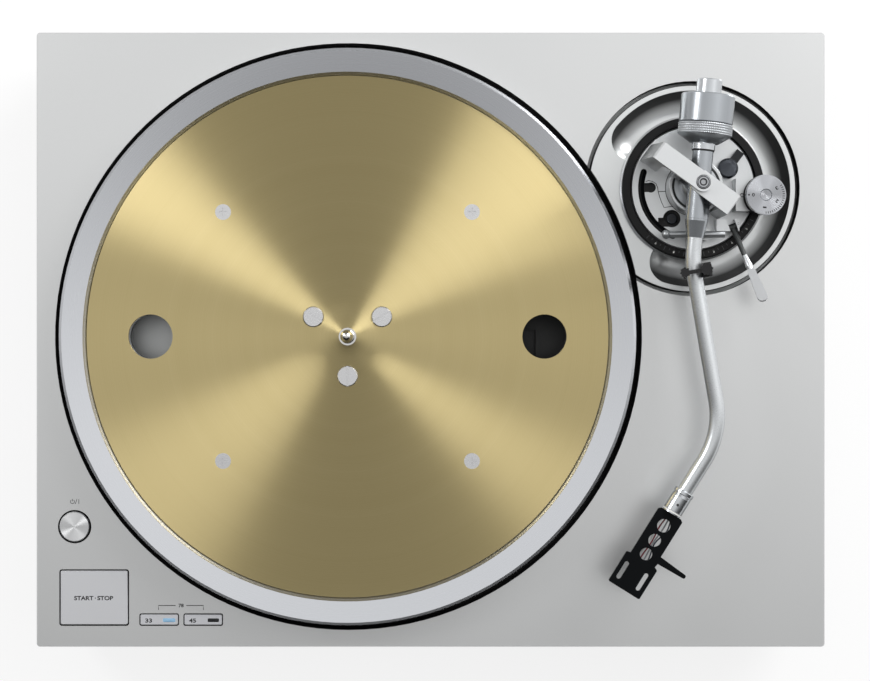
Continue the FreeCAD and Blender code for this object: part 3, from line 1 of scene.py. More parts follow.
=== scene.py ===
import bmesh
import bpy
import json
import math
import numpy as np
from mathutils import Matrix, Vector


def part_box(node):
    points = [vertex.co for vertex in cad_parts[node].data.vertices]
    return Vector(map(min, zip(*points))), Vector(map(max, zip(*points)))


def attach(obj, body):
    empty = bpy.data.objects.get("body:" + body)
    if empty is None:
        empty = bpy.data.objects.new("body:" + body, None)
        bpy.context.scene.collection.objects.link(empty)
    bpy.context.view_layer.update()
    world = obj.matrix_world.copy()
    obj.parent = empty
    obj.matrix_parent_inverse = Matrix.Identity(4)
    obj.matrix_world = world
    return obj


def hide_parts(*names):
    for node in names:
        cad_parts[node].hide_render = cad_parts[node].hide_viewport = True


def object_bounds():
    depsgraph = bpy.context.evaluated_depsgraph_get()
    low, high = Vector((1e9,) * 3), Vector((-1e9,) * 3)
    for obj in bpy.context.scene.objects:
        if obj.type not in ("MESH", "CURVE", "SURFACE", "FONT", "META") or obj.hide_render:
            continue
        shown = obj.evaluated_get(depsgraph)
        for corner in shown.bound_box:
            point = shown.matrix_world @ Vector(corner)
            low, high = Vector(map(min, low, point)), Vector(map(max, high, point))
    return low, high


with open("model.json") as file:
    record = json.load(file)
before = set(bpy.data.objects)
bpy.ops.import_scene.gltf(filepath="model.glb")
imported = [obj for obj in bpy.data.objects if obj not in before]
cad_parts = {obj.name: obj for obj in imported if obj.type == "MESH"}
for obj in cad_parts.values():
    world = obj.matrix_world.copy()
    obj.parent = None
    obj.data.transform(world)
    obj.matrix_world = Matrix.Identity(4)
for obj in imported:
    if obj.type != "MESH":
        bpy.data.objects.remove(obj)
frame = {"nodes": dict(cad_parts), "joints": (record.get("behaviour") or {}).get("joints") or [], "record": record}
cadBox = [list(map(float, corner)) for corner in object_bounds()]
print("frame loaded:", len(frame["nodes"]), "nodes")

mm = 0.001
tau = 2 * math.pi


# Places read from the frame, in metres

def joint(name):
    return next(entry for entry in frame["joints"] if entry["name"] == name)


def middleOf(node):
    low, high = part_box(node)
    return np.array([(low[i] + high[i]) / 2 for i in range(3)])


spindle = middleOf("spindle_shaft")
pivot = np.array(joint("arm_swing")["pos_m"])
rearward = np.array(joint("weight_slide")["axis"])
headward = np.array(joint("headshell_pull")["axis"])
collarAt = np.array(joint("lock_collar_turn")["pos_m"])
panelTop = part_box("top_panel")[1][2]
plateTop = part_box("arm_base_plate")[1][2]


# Colours are written as they look on a screen, from 0 to 255, and turned to light values

def tone(red, green=None, blue=None):
    def linear(value):
        part = value / 255
        return part / 12.92 if part <= 0.04045 else ((part + 0.055) / 1.055) ** 2.4
    if green is None:
        green = blue = red
    return (linear(red), linear(green), linear(blue), 1.0)


# Shader maths. A Field is one number at each point of a surface. Sums and products of fields
# add Math nodes to the material that they belong to.

class Field:
    def __init__(self, paint, socket):
        self.paint = paint
        self.socket = socket

    def worked(self, operation, *others, clamp=False):
        inputs = dict(enumerate((self, *others)))
        settings = {"operation": operation, "use_clamp": clamp}
        return Field(self.paint, self.paint.node("ShaderNodeMath", settings, inputs).outputs[0])

    def __add__(self, other):
        return self.worked("ADD", other)

    def __sub__(self, other):
        return self.worked("SUBTRACT", other)

    def __rsub__(self, other):
        return (self * -1.0).worked("ADD", other)

    def __mul__(self, other):
        return self.worked("MULTIPLY", other)

    def __truediv__(self, other):
        return self.worked("DIVIDE", other)

    def __abs__(self):
        return self.worked("ABSOLUTE")

    __radd__ = __add__
    __rmul__ = __mul__

    def above(self, edge):
        return self.worked("GREATER_THAN", edge)

    def below(self, edge):
        return self.worked("LESS_THAN", edge)

    def power(self, exponent):
        return self.worked("POWER", exponent)

    def rising(self, low, high):          # 0 below low, 1 above high, straight between
        return ((self - low) / (high - low)).worked("ADD", 0.0, clamp=True)


class Paint:
    def __init__(self, name, owner=None, place="Object"):
        self.material = owner or bpy.data.materials.new(name)
        self.material.use_nodes = True
        self.tree = self.material.node_tree
        self.tree.nodes.clear()
        self.place = self.node("ShaderNodeTexCoord").outputs[place]

    def node(self, kind, settings=None, values=None):    # every node is added here
        made = self.tree.nodes.new(kind)
        for key, value in (settings or {}).items():
            setattr(made, key, value)
        for key, value in (values or {}).items():
            value = getattr(value, "socket", value)
            if isinstance(value, bpy.types.NodeSocket):
                self.tree.links.new(value, made.inputs[key])
            else:
                made.inputs[key].default_value = value
        return made

    def vector(self, operation, first, second):
        return self.node("ShaderNodeVectorMath", {"operation": operation}, {0: first, 1: second})

    def fromPoint(self, centre):
        return self.vector("SUBTRACT", self.place, tuple(centre)).outputs[0]

    def radius(self, centre):             # distance from an upright axis through centre
        level = self.vector("MULTIPLY", self.fromPoint(centre), (1, 1, 0)).outputs[0]
        length = self.node("ShaderNodeVectorMath", {"operation": "LENGTH"}, {0: level})
        return Field(self, length.outputs["Value"])

    def along(self, centre, direction):   # distance from centre, measured along direction
        dot = self.vector("DOT_PRODUCT", self.fromPoint(centre), tuple(direction))
        return Field(self, dot.outputs["Value"])

    def height(self):
        return self.along((0, 0, 0), (0, 0, 1))

    def grain(self, scale, detail=3.0, where=None):
        values = {"Vector": where or self.place, "Scale": scale, "Detail": detail}
        return Field(self, self.node("ShaderNodeTexNoise", {}, values).outputs[0])

    def lines(self, field, pitch, detail=3.0):    # uneven fine lines that follow a field's steps
        where = self.node("ShaderNodeCombineXYZ", {}, {0: field}).outputs[0]
        return self.grain(1 / pitch, detail, where)

    def between(self, factor, first, second):
        return self.node("ShaderNodeMix", {"data_type": "RGBA"}, {0: factor, 6: first, 7: second}).outputs[2]

    def raised(self, height, distance):
        return self.node("ShaderNodeBump", {}, {"Height": height, "Distance": distance}).outputs[0]

    def finish(self, color, metallic, roughness, normal, **constants):
        values = {"Base Color": color, "Metallic": metallic, "Roughness": roughness, "Normal": normal}
        shader = self.node("ShaderNodeBsdfPrincipled", {}, {**values, **constants})
        self.node("ShaderNodeOutputMaterial", {}, {0: shader.outputs[0]})
        return self.material


def shade(color, factor):
    return tuple(min(1.0, part * factor) for part in color[:3]) + (1.0,)


# Brush marks that run round the piece's middle, or away from it where they are radial

def brushing(amount, radial=False):
    return {"Anisotropic": amount, "Anisotropic Rotation": 0.0 if radial else 0.25}


# Places painted dark although their piece is bright: 1 there and 0 elsewhere. All but the foot pads are painted
# shade in walls, gaps and recesses; the foot pads' dark is their real rubber.
# The sizes are in mm; a lip is how far below the piece's face the painted darkness begins.

# painted shade colour for walls, gaps and recesses, which is also the colour of the foot pads' rubber
shadeAndRubberTone = tone(16)
# painted shade colour for the anti-skate dial's side
dialShadeTone = tone(40)
edges = {"side": 1.0, "panelLip": 0.45, "wellRim": (150, 170), "wellCut": 169, "boardWall": 59.2,
         "boardBore": 33, "trough": (46.0, 52.5), "troughLip": 0.3, "troughShare": 0.97, "padTop": 6.1,
         "plateReach": 34.5, "plateLip": 0.3, "dialReach": 11.5, "dialLip": 0.9}


# painted shade on the walls of the top panel's openings
def holeWalls(paint):                 # walls of the top panel's openings
    across = abs(paint.along((0, 0, 0), (1, 0, 0))).below(cadBox[1][0] - edges["side"] * mm)
    along = abs(paint.along((0, 0, 0), (0, 1, 0))).below(cadBox[1][1] - edges["side"] * mm)
    return across * along * paint.height().below(panelTop - edges["panelLip"] * mm)


# painted shade on the well's floor and wall beyond the platter's web
def wellRim(paint):                   # floor and wall of the well beyond the platter's web
    reach = paint.radius(spindle)
    inner, outer = edges["wellRim"]
    return reach.above(inner * mm) * reach.below(outer * mm)


# painted shade on the arm board's outer wall, its bore and the trough's outer side
def boardShade(paint):                # the arm board's outer wall, its bore and the trough's outer side
    reach = paint.radius(pivot)
    bore = reach.below(edges["boardBore"] * mm)
    cut = paint.radius(spindle).below(edges["wellCut"] * mm)
    wall = (reach.above(edges["boardWall"] * mm) + cut).worked("MINIMUM", 1.0)
    inner, outer = edges["trough"]
    trough = reach.rising(inner * mm, outer * mm) * paint.height().below(panelTop - edges["troughLip"] * mm)
    return wall.worked("MAXIMUM", bore).worked("MAXIMUM", trough * edges["troughShare"])


def footPads(paint):                  # the rubber under each foot
    return paint.height().below(edges["padTop"] * mm)


# painted shade in the slot and pockets of the arm's base plate
def plateCuts(paint):                 # the slot and pockets in the arm's base plate
    reach = paint.radius(pivot)
    return reach.below(edges["plateReach"] * mm) * paint.height().below(plateTop - edges["plateLip"] * mm)


# painted shade on the anti-skate dial's side and the drum beneath it
def underDial(paint):                 # the anti-skate dial's side and the housing's drum beneath it
    reach = paint.radius(middleOf("antiskate_dial"))
    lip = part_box("antiskate_dial")[1][2] - edges["dialLip"] * mm
    return reach.below(edges["dialReach"] * mm) * paint.height().below(lip)


# Kinds of finish. Each takes its settings by name, so that a slot's dictionary can change them.

def blasted(name, color, roughness=0.4, metallic=0.85, size=0.4, depth=0.01, cloud=0.05, dark=None):
    # bead-blasted metal: fine grain in height and colour over a slow, faint cloud
    paint = Paint(name)
    fine = paint.grain(1 / (size * mm), 2.0)
    slow = paint.grain(9.0, 2.0)
    tint = paint.between(fine * 0.5 + slow * 0.5, shade(color, 1 - cloud), shade(color, 1 + cloud))
    rough = (fine - 0.5) * 0.12 + (slow - 0.5) * 0.06 + roughness
    # painted shade where the dark mask is 1, in walls, gaps and recesses; on the feet the same mask marks the real
    # rubber pads
    if dark:
        shadeAndRubber = dark(paint)
        tint = paint.between(shadeAndRubber, tint, shadeAndRubberTone)
        metallic = (1.0 - shadeAndRubber) * metallic
        rough = rough + shadeAndRubber * 0.3
    return paint.finish(tint, metallic, rough, paint.raised(fine, depth * mm))


def moulded(name, color, roughness=0.45, metallic=0.0, size=1.1, depth=0.02, uneven=0.16, sheen=0.5):
    # moulded plastic, rubber or coating: an orange-peel height and an uneven gloss
    paint = Paint(name)
    peel = paint.grain(1 / (size * mm))
    wide = paint.grain(40.0)
    tint = paint.between(wide, shade(color, 1 - uneven), shade(color, 1 + uneven))
    rough = (wide - 0.5) * 0.14 + (peel - 0.5) * 0.08 + roughness
    return paint.finish(tint, metallic, rough, paint.raised(peel, depth * mm),
                        **{"Specular IOR Level": sheen})


def turned(name, color, centre, along=None, roughness=0.28, metallic=1.0, pitch=0.3, depth=0.003,
           contrast=0.06, brushed=0.0, radial=False, dish=0.0, dark=None):
    # turned metal: fine rings round an upright axis, or one after another along a lying axis. A dish
    # leans the face towards the axis by that slope.
    paint = Paint(name)
    way = paint.radius(centre) if along is None else paint.along(centre, along)
    rings = paint.lines(way, pitch * mm)
    tint = paint.between(rings, shade(color, 1 - contrast), shade(color, 1 + contrast))
    rough = (rings - 0.5) * 0.12 + roughness
    height = rings * (depth * mm) + way * dish
    # painted shade: the dark mask darkens the anti-skate dial's side
    if dark:
        tint = paint.between(dark(paint), tint, dialShadeTone)
    return paint.finish(tint, metallic, rough, paint.raised(height, 1.0), **brushing(brushed, radial))


def brassDisc(name, light, deep, roughness=0.44, brushed=1.0, pitch=0.5, wave=9.0, depth=0.003):
    # circular brushing round the spindle, finer and broader rings over one another
    paint = Paint(name)
    radius = paint.radius(spindle)
    rings = paint.lines(radius, pitch * mm, 4.0)
    broad = paint.lines(radius, wave * mm, 2.0)
    tint = paint.between(rings * 0.7 + broad * 0.3, deep, light)
    rough = (rings - 0.5) * 0.12 + roughness
    return paint.finish(tint, 1.0, rough, paint.raised(rings, depth * mm), **brushing(brushed))


def circuitBoard(name, copper, mask, cell=3.8, track=0.06):
    # solder mask over tracks, which are the edges of cells
    paint = Paint(name)
    values = {"Vector": paint.place, "Scale": 1 / (cell * mm)}
    cells = paint.node("ShaderNodeTexVoronoi", {"feature": "DISTANCE_TO_EDGE"}, values)
    bare = Field(paint, cells.outputs["Distance"]).above(track)
    rough = 0.35 + 0.1 * paint.grain(300.0)
    return paint.finish(paint.between(bare, copper, mask), 0.0, rough, paint.raised(bare, 0.02 * mm))


def scaleRing(name, color, flange, edge=40.25, step=3.2, roughness=0.38):
    # black scale ring over a satin flange, which lies beyond the edge and below the step
    paint = Paint(name)
    peel = paint.grain(900.0)
    outside = paint.radius(pivot).above(edge * mm) * paint.height().below(panelTop + step * mm)
    tint = paint.between(outside, color, flange)
    rough = (peel - 0.5) * 0.08 + roughness
    return paint.finish(tint, outside * 0.85, rough, paint.raised(peel, 0.004 * mm),
                        **{"Specular IOR Level": 0.25})


def lockLever(name, knob, handle, centre, edge=5.9, pitch=0.4):
    # glossy turned knob with a darker moulded handle beyond its edge
    paint = Paint(name)
    rings = paint.lines(paint.radius(centre), pitch * mm)
    onHandle = paint.radius(centre).above(edge * mm)
    rough = onHandle * 0.1 + 0.26 + (rings - 0.5) * 0.08
    metal = 1.0 - onHandle * 0.7
    return paint.finish(paint.between(onHandle, knob, handle), metal, rough,
                        paint.raised(rings, 0.002 * mm), **brushing(0.9, radial=True))


def cueStem(name, coat, bare, edge, blend=0.2):
    # dark coating on the stem up to the cone, bright metal on the paddle
    paint = Paint(name)
    reach = paint.radius(joint("cue_lever_turn")["pos_m"])
    metal = reach.rising((edge - blend) * mm, (edge + blend) * mm)
    fine = paint.grain(1400.0)
    rough = 0.36 - metal * 0.06 + (fine - 0.5) * 0.1
    return paint.finish(paint.between(metal, coat, bare), metal * 0.5 + 0.4, rough,
                        paint.raised(fine, 0.004 * mm))


lying = {"centre": pivot, "along": rearward}
# A dark entry paints shade into a slot's walls, gaps and recesses; on foot_metal it marks the real rubber pads.
slotFinish = {
    "panel_satin": (blasted, {"color": tone(208, 209, 209), "roughness": 0.31, "dark": holeWalls}),
    "board_satin": (blasted, {"color": tone(212, 214, 214), "roughness": 0.34, "dark": boardShade}),
    "cast_silver": (blasted, {"color": tone(196, 198, 198), "roughness": 0.45, "depth": 0.02,
                              "dark": wellRim}),
    "base_black": (moulded, {"color": tone(34, 34, 35), "roughness": 0.6, "depth": 0.05}),
    "recess_black": (moulded, {"color": tone(30, 31, 32), "roughness": 0.55, "depth": 0.04}),
    "socket_metal": (turned, {"color": tone(222, 190, 118), "centre": middleOf("signal_sockets")}),
    "terminal_metal": (blasted, {"color": tone(205, 206, 208), "roughness": 0.3, "metallic": 1.0}),
    "inlet_black": (moulded, {"color": tone(26, 26, 27), "roughness": 0.5}),
    "board_green": (circuitBoard, {"copper": tone(70, 130, 70), "mask": tone(22, 74, 44)}),
    "core_steel": (turned, {"color": tone(110, 112, 116), "centre": middleOf("transformer"),
                            "along": (1, 0, 0), "roughness": 0.5, "pitch": 0.6, "depth": 0.05}),
    "button_satin": (blasted, {"color": tone(218, 219, 223), "roughness": 0.36, "depth": 0.004}),
    "button_turned": (turned, {"color": tone(232, 233, 234), "centre": middleOf("power_button"),
                               "roughness": 0.34, "brushed": 0.9, "radial": True, "depth": 0.001}),
    "foot_metal": (blasted, {"color": tone(150, 152, 154), "roughness": 0.36, "size": 0.5,
                             "dark": footPads}),
    "platter_polished": (turned, {"color": tone(203, 205, 209), "centre": spindle, "roughness": 0.26,
                                  "pitch": 0.4, "depth": 0.001, "brushed": 0.2, "dish": 0.16}),
    "brass_brushed": (brassDisc, {"light": tone(202, 187, 141), "deep": tone(179, 162, 114),
                                   "roughness": 0.36}),
    "damping_rubber": (moulded, {"color": tone(30, 30, 30), "roughness": 0.75, "depth": 0.06}),
    "screw_steel": (blasted, {"color": tone(206, 206, 207), "roughness": 0.26, "metallic": 1.0}),
    "shaft_steel": (turned, {"color": tone(206, 205, 203), "centre": spindle, "roughness": 0.16}),
    "yoke_iron": (turned, {"color": tone(140, 141, 143), "centre": spindle, "roughness": 0.4}),
    "magnet_grey": (moulded, {"color": tone(84, 84, 88), "roughness": 0.5, "metallic": 0.5}),
    "housing_cast": (blasted, {"color": tone(150, 153, 156), "roughness": 0.5, "depth": 0.03}),
    "bush_bronze": (turned, {"color": tone(178, 132, 78), "centre": spindle, "roughness": 0.35}),
    "coil_copper": (turned, {"color": tone(190, 108, 62), "centre": spindle, "pitch": 0.35,
                             "depth": 0.05, "roughness": 0.35, "contrast": 0.2}),
    "sleeve_metal": (turned, {"color": tone(24, 25, 27), "centre": pivot, "roughness": 0.5}),
    "arm_base_silver": (blasted, {"color": tone(204, 206, 207), "roughness": 0.34, "metallic": 0.85,
                                  "dark": plateCuts}),
    "arm_turned": (turned, {"color": tone(163, 167, 171), "roughness": 0.25, **lying}),
    "ring_black": (scaleRing, {"color": tone(9, 9, 10), "flange": tone(196, 198, 199)}),
    "lever_black": (moulded, {"color": tone(12, 12, 14), "roughness": 0.24, "depth": 0.004,
                              "sheen": 0.35}),
    "rest_grey": (moulded, {"color": tone(18, 19, 20), "roughness": 0.36, "depth": 0.01, "sheen": 0.2}),
    "gimbal_metal": (blasted, {"color": tone(120, 122, 124), "roughness": 0.32, "metallic": 1.0}),
    "tube_silver": (blasted, {"color": tone(200, 203, 205), "roughness": 0.3, "depth": 0.002}),
    "shaft_bright": (turned, {"color": tone(192, 195, 198), "roughness": 0.24, **lying}),
    "dial_knurled": (turned, {"color": tone(158, 161, 164), "roughness": 0.4, **lying}),
    "dial_silver": (turned, {"color": tone(176, 178, 182), "centre": middleOf("antiskate_dial"),
                             "roughness": 0.21, "brushed": 1.0, "radial": True, "depth": 0.001,
                             "dark": underDial}),
    "cue_silver": (cueStem, {"coat": tone(62, 64, 64), "bare": tone(226, 228, 230), "edge": 17.0}),
    "shell_black": (moulded, {"color": tone(7, 9, 11), "roughness": 0.4, "size": 0.5,
                              "depth": 0.004, "sheen": 0.08}),
    "lead_colours": (moulded, {"color": tone(214, 150, 150), "roughness": 0.4, "size": 0.7}),
}
finishes = {slot: kind(slot.replace("_", "."), **settings)
            for slot, (kind, settings) in slotFinish.items()}

# Pieces whose finish differs a little from the rest of their slot
nodeFinish = {
    "bearing_tower": (turned, {"color": tone(176, 179, 182), "centre": pivot, "roughness": 0.34,
                               "brushed": 0.6}),
    "pivot_screw": (turned, {"color": tone(164, 166, 169), "centre": pivot, "roughness": 0.24}),
    "lock_lever": (lockLever, {"knob": tone(74, 77, 82), "handle": tone(30, 32, 34),
                               "centre": np.array(joint("height_lock")["pos_m"])}),
    "arch_bridge": (blasted, {"color": tone(213, 215, 216), "roughness": 0.36}),
    "start_button": (blasted, {"color": tone(220, 221, 224), "roughness": 0.38, "depth": 0.003}),
    # painted shade on the housing's drum beneath the dial
    "antiskate_housing": (blasted, {"color": tone(204, 206, 207), "roughness": 0.34, "dark": underDial}),
    "lift_bar": (blasted, {"color": tone(178, 181, 183), "roughness": 0.34, "depth": 0.002}),
}
slotOf = {entry["node"]: entry["material_slot"] for entry in frame["record"]["subparts"]}
for node, thing in frame["nodes"].items():
    thing.data.materials.clear()
    if node in nodeFinish:
        kind, settings = nodeFinish[node]
        thing.data.materials.append(kind(node.replace("_", "."), **settings))
    else:
        thing.data.materials.append(finishes[slotOf[node]])
print("finishes:", len(finishes))


# Building new pieces. Each shape is worked out as whole arrays: a grid of points that two
# parameters run over, or a profile carried along a path.

weld = 1e-7                           # points nearer than this, in metres, are one


def placed(name, points, faces, slot, body, material=None, smooth=35):
    mesh = bpy.data.meshes.new(name)
    mesh.from_pydata(np.asarray(points).reshape(-1, 3).tolist(), [], np.asarray(faces).tolist())
    merged = bmesh.new()
    merged.from_mesh(mesh)
    bmesh.ops.remove_doubles(merged, verts=merged.verts, dist=weld)
    merged.to_mesh(mesh)
    merged.free()
    mesh.shade_smooth()
    mesh.set_sharp_from_angle(angle=math.radians(smooth))
    return dressed(bpy.data.objects.new(name, mesh), slot, body, material)


def dressed(thing, slot, body, material=None):
    thing.data.materials.clear()
    thing.data.materials.append(material or finishes[slot])
    bpy.context.scene.collection.objects.link(thing)
    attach(thing, body)
    return thing


# Faces of a grid of rows by columns, closed on itself in either direction where asked
def gridFaces(rows, columns, aroundRows=False, aroundColumns=True):
    row, column = np.meshgrid(np.arange(rows - (not aroundRows)),
                              np.arange(columns - (not aroundColumns)), indexing="ij")
    nextRow, nextColumn = (row + 1) % rows, (column + 1) % columns
    corners = [row * columns + column, nextRow * columns + column,
               nextRow * columns + nextColumn, row * columns + nextColumn]
    return np.stack(corners, axis=-1).reshape(-1, 4)


# Two unit vectors square to a direction, the second one as near to upright as it can be
def across(direction):
    forward = np.asarray(direction, float) / np.linalg.norm(direction)
    side = np.cross(forward, (0, 0, 1) if abs(forward[2]) < 0.9 else (0, 1, 0))
    side /= np.linalg.norm(side)
    return side, np.cross(side, forward), forward


# A turned piece. The point at distance s along its outline and angle t round the axis is
# origin + axis * height(s) + (side * cos t + lift * sin t) * radius(s) * ripple(s, t).
def spun(name, outline, origin, axis, slot, body, steps=64, ripple=None, material=None):
    side, lift, forward = across(axis)
    radius, height = np.array(outline, float).T * mm
    turn = np.linspace(0, tau, steps, endpoint=False)
    round_ = side * np.cos(turn)[:, None] + lift * np.sin(turn)[:, None]
    reach = np.outer(radius, np.ones(steps)) if ripple is None else radius[:, None] * ripple(
        np.arange(len(radius))[:, None], turn)
    points = origin + forward * height[:, None, None] + round_ * reach[..., None]
    closed = np.allclose(outline[0], outline[-1])
    rows = len(outline) - closed
    return placed(name, points[:rows], gridFaces(rows, steps, aroundRows=closed), slot, body, material)


# Printed words, laid on a face a hair above it and fitted to a measured width and height
def lettering(name, words, wide, high, middle, height, slot, body, material, turn=0.0):
    curve = bpy.data.curves.new(name, "FONT")
    curve.body = words
    curve.offset = 0.03                  # a bolder stroke
    curve.space_word = 0.6
    shape = bpy.data.objects.new(name + ".curve", curve)
    bpy.context.scene.collection.objects.link(shape)
    graph = bpy.context.evaluated_depsgraph_get()
    mesh = bpy.data.meshes.new_from_object(shape.evaluated_get(graph))
    bpy.data.objects.remove(shape)
    points = np.zeros(len(mesh.vertices) * 3)
    mesh.vertices.foreach_get("co", points)
    points = points.reshape(-1, 3)
    low, top = points.min(0), points.max(0)
    points[:, 0] = (points[:, 0] - (low[0] + top[0]) / 2) * wide * mm / (top[0] - low[0])
    points[:, 1] = (points[:, 1] - (low[1] + top[1]) / 2) * high * mm / (top[1] - low[1])
    cosine, sine = math.cos(math.radians(turn)), math.sin(math.radians(turn))
    points[:, :2] = points[:, :2] @ np.array([[cosine, sine], [-sine, cosine]]) + middle[:2]
    points[:, 2] = height + printLift
    mesh.vertices.foreach_set("co", points.ravel())
    mesh.name = name
    return dressed(bpy.data.objects.new(name, mesh), slot, body, material)


# A printed line of even width through its points, with square ends
def printedLine(name, path, width, height, slot, body, material, closed=False):
    path = np.asarray(path, float)
    run = np.roll(path, -1, 0) - np.roll(path, 1, 0)
    if not closed:
        run[0], run[-1] = path[1] - path[0], path[-1] - path[-2]
    run /= np.linalg.norm(run, axis=1)[:, None]
    off = np.stack([-run[:, 1], run[:, 0]], 1) * width / 2 * mm
    level = np.full((len(path), 1), height + printLift)
    left, right = np.hstack([path + off, level]), np.hstack([path - off, level])
    points = np.stack([left, right], 1)
    return placed(name, points, gridFaces(len(path), 2, closed, False), slot, body, material)


# Short marks that point away from a centre, each one a narrow rectangle
def ticks(name, centre, angles, inner, outer, width, height, slot, body, material):
    turn = np.radians(np.asarray(angles, float))
    away = np.stack([np.cos(turn), np.sin(turn)], 1)
    side = np.stack([-away[:, 1], away[:, 0]], 1) * width / 2 * mm
    corners = [away * inner * mm + side, away * inner * mm - side,
               away * outer * mm - side, away * outer * mm + side]
    level = np.stack(corners, 1) + np.asarray(centre)[:2]
    points = np.concatenate([level, np.full((*level.shape[:2], 1), height + printLift)], 2)
    faces = np.arange(points.shape[0] * 4).reshape(-1, 4)[:, ::-1]
    return placed(name, points, faces, slot, body, material)


# A shallow dome on a rounded outline: x and y are the half sizes times s times a rounded square's
# cosine and sine, and the height falls from the middle as 1 - s squared.
def domed(name, wide, deep, rise, middle, height, slot, body, material, squareness, rings=9, sides=48):
    s, t = np.meshgrid(np.linspace(0, 1, rings), np.linspace(0, tau, sides, endpoint=False),
                       indexing="ij")
    x = wide / 2 * s * np.sign(np.cos(t)) * np.abs(np.cos(t)) ** squareness
    y = deep / 2 * s * np.sign(np.sin(t)) * np.abs(np.sin(t)) ** squareness
    points = np.stack([x, y, rise * (1 - s ** 2)], -1) * mm + np.array([middle[0], middle[1], height])
    return placed(name, points, gridFaces(rings, sides), slot, body, material)


# A tube along a smooth path through its points. The path's pieces are cubic, with each point's
# direction taken from its two neighbours, and the circle is carried square to the path.
def tube(name, knots, radius, slot, body, material=None, steps=12, sides=12):
    knots = np.asarray(knots, float)
    slope = np.gradient(knots, axis=0)
    t = np.linspace(0, 1, steps, endpoint=False)[None, :, None]
    first, last = knots[:-1, None], knots[1:, None]
    leave, reach = slope[:-1, None], slope[1:, None]
    run = ((2 * t ** 3 - 3 * t ** 2 + 1) * first + (t ** 3 - 2 * t ** 2 + t) * leave
           + (3 * t ** 2 - 2 * t ** 3) * last + (t ** 3 - t ** 2) * reach).reshape(-1, 3)
    run = np.vstack([run, knots[-1]])
    ahead = np.gradient(run, axis=0)
    ahead /= np.linalg.norm(ahead, axis=1)[:, None]
    side = np.cross(ahead, (0, 0, 1))
    side /= np.linalg.norm(side, axis=1)[:, None]
    lift = np.cross(side, ahead)
    turn = np.linspace(0, tau, sides, endpoint=False)[None, :, None]
    ring = run[:, None] + (side[:, None] * np.cos(turn) + lift[:, None] * np.sin(turn)) * radius * mm
    ends = np.stack([np.broadcast_to(run[0], (sides, 3)), np.broadcast_to(run[-1], (sides, 3))])
    points = np.concatenate([ends[:1], ring, ends[1:]])
    return placed(name, points, gridFaces(len(points), sides), slot, body, material, smooth=60)


printLift = 0.04 * mm
inks = {
    "ink.black": {"color": tone(14, 15, 18), "roughness": 0.5},
    "ink.white": {"color": tone(226, 226, 222), "roughness": 0.5},
    "ink.grey": {"color": tone(92, 93, 96), "roughness": 0.5},
}
ink = {name: moulded(name, size=0.4, depth=0.001, uneven=0.04, **look) for name, look in inks.items()}
black, white, grey = ink["ink.black"], ink["ink.white"], ink["ink.grey"]


# Legends beside and on the buttons

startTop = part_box("start_button")[1][2]
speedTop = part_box("speed_button_33")[1][2]
legends = {
    "legendStart": {"words": "START \u00b7 STOP", "wide": 22.4, "high": 2.5, "at": (-193.6, -148.5),
                    "top": startTop, "body": "start_button"},
    "legend33": {"words": "33", "wide": 3.9, "high": 2.4, "at": (-162.05, -161.4),
                 "top": speedTop, "body": "speed_button_33"},
    "legend45": {"words": "45", "wide": 4.0, "high": 2.4, "at": (-136.8, -161.4),
                 "top": speedTop, "body": "speed_button_45"},
    "legend78": {"words": "78", "wide": 2.9, "high": 2.1, "at": (-143.4, -152.8),
                 "top": panelTop, "body": "deck"},
}
for name, legend in legends.items():
    lettering(name, legend["words"], legend["wide"], legend["high"], np.array(legend["at"]) * mm,
              legend["top"], "recess_black", legend["body"], black)

bracket = {"left": ((-146.6, -152.8), (-156.4, -152.8), (-156.4, -155.3)),
           "right": ((-140.4, -152.8), (-130.6, -152.8), (-130.6, -155.3)), "width": 0.4}
for end in ("left", "right"):
    printedLine("bracket." + end, np.array(bracket[end]) * mm, bracket["width"], panelTop,
                "recess_black", "deck", black)

standby = {"at": (-205.9, -93.1), "radius": 1.15, "width": 0.32, "gap": 40, "stem": ((0, 0.2), (0, 1.5)),
           "slash": (-204.3, -203.3), "bar": -202.2, "half": 1.35}
sweep = np.radians(np.linspace(90 + standby["gap"], 450 - standby["gap"], 25))
middle = np.array(standby["at"])
strokes = {
    "ring": middle + standby["radius"] * np.stack([np.cos(sweep), np.sin(sweep)], 1),
    "stem": middle + np.array(standby["stem"]),
    "slash": np.array([(standby["slash"][0], middle[1] - standby["half"]),
                       (standby["slash"][1], middle[1] + standby["half"])]),
    "bar": np.array([(standby["bar"], middle[1] - standby["half"]),
                     (standby["bar"], middle[1] + standby["half"])]),
}
for name, path in strokes.items():
    printedLine("standby." + name, path * mm, standby["width"], panelTop, "recess_black", "deck", black)

lens = {"rise": 0.35, "squareness": 0.25, "grain": 500.0}
lampWindows = {
    "lampLit": {"wide": 7.1, "deep": 2.2, "at": (-150.25, -161.2), "body": "speed_button_33",
                "color": tone(128, 166, 194), "glow": 0.25},
    "lampDark": {"wide": 6.5, "deep": 2.1, "at": (-124.85, -161.2), "body": "speed_button_45",
                 "color": tone(16, 18, 21), "glow": 0.0},
}
for name, lamp in lampWindows.items():
    paint = Paint(name + ".lens")
    mist = paint.grain(lens["grain"])
    look = paint.finish(paint.between(mist, shade(lamp["color"], 0.94), lamp["color"]), 0.0,
                        0.12 + 0.1 * mist, paint.raised(mist, 0.004 * mm),
                        **{"Emission Color": lamp["color"], "Emission Strength": lamp["glow"]})
    domed(name, lamp["wide"], lamp["deep"], lens["rise"], np.array(lamp["at"]) * mm, speedTop,
          "inlet_black", lamp["body"], look, lens["squareness"])
print("legends and lamps ready")


# Scale of the anti-skate dial, its index mark, and the scale on the height ring

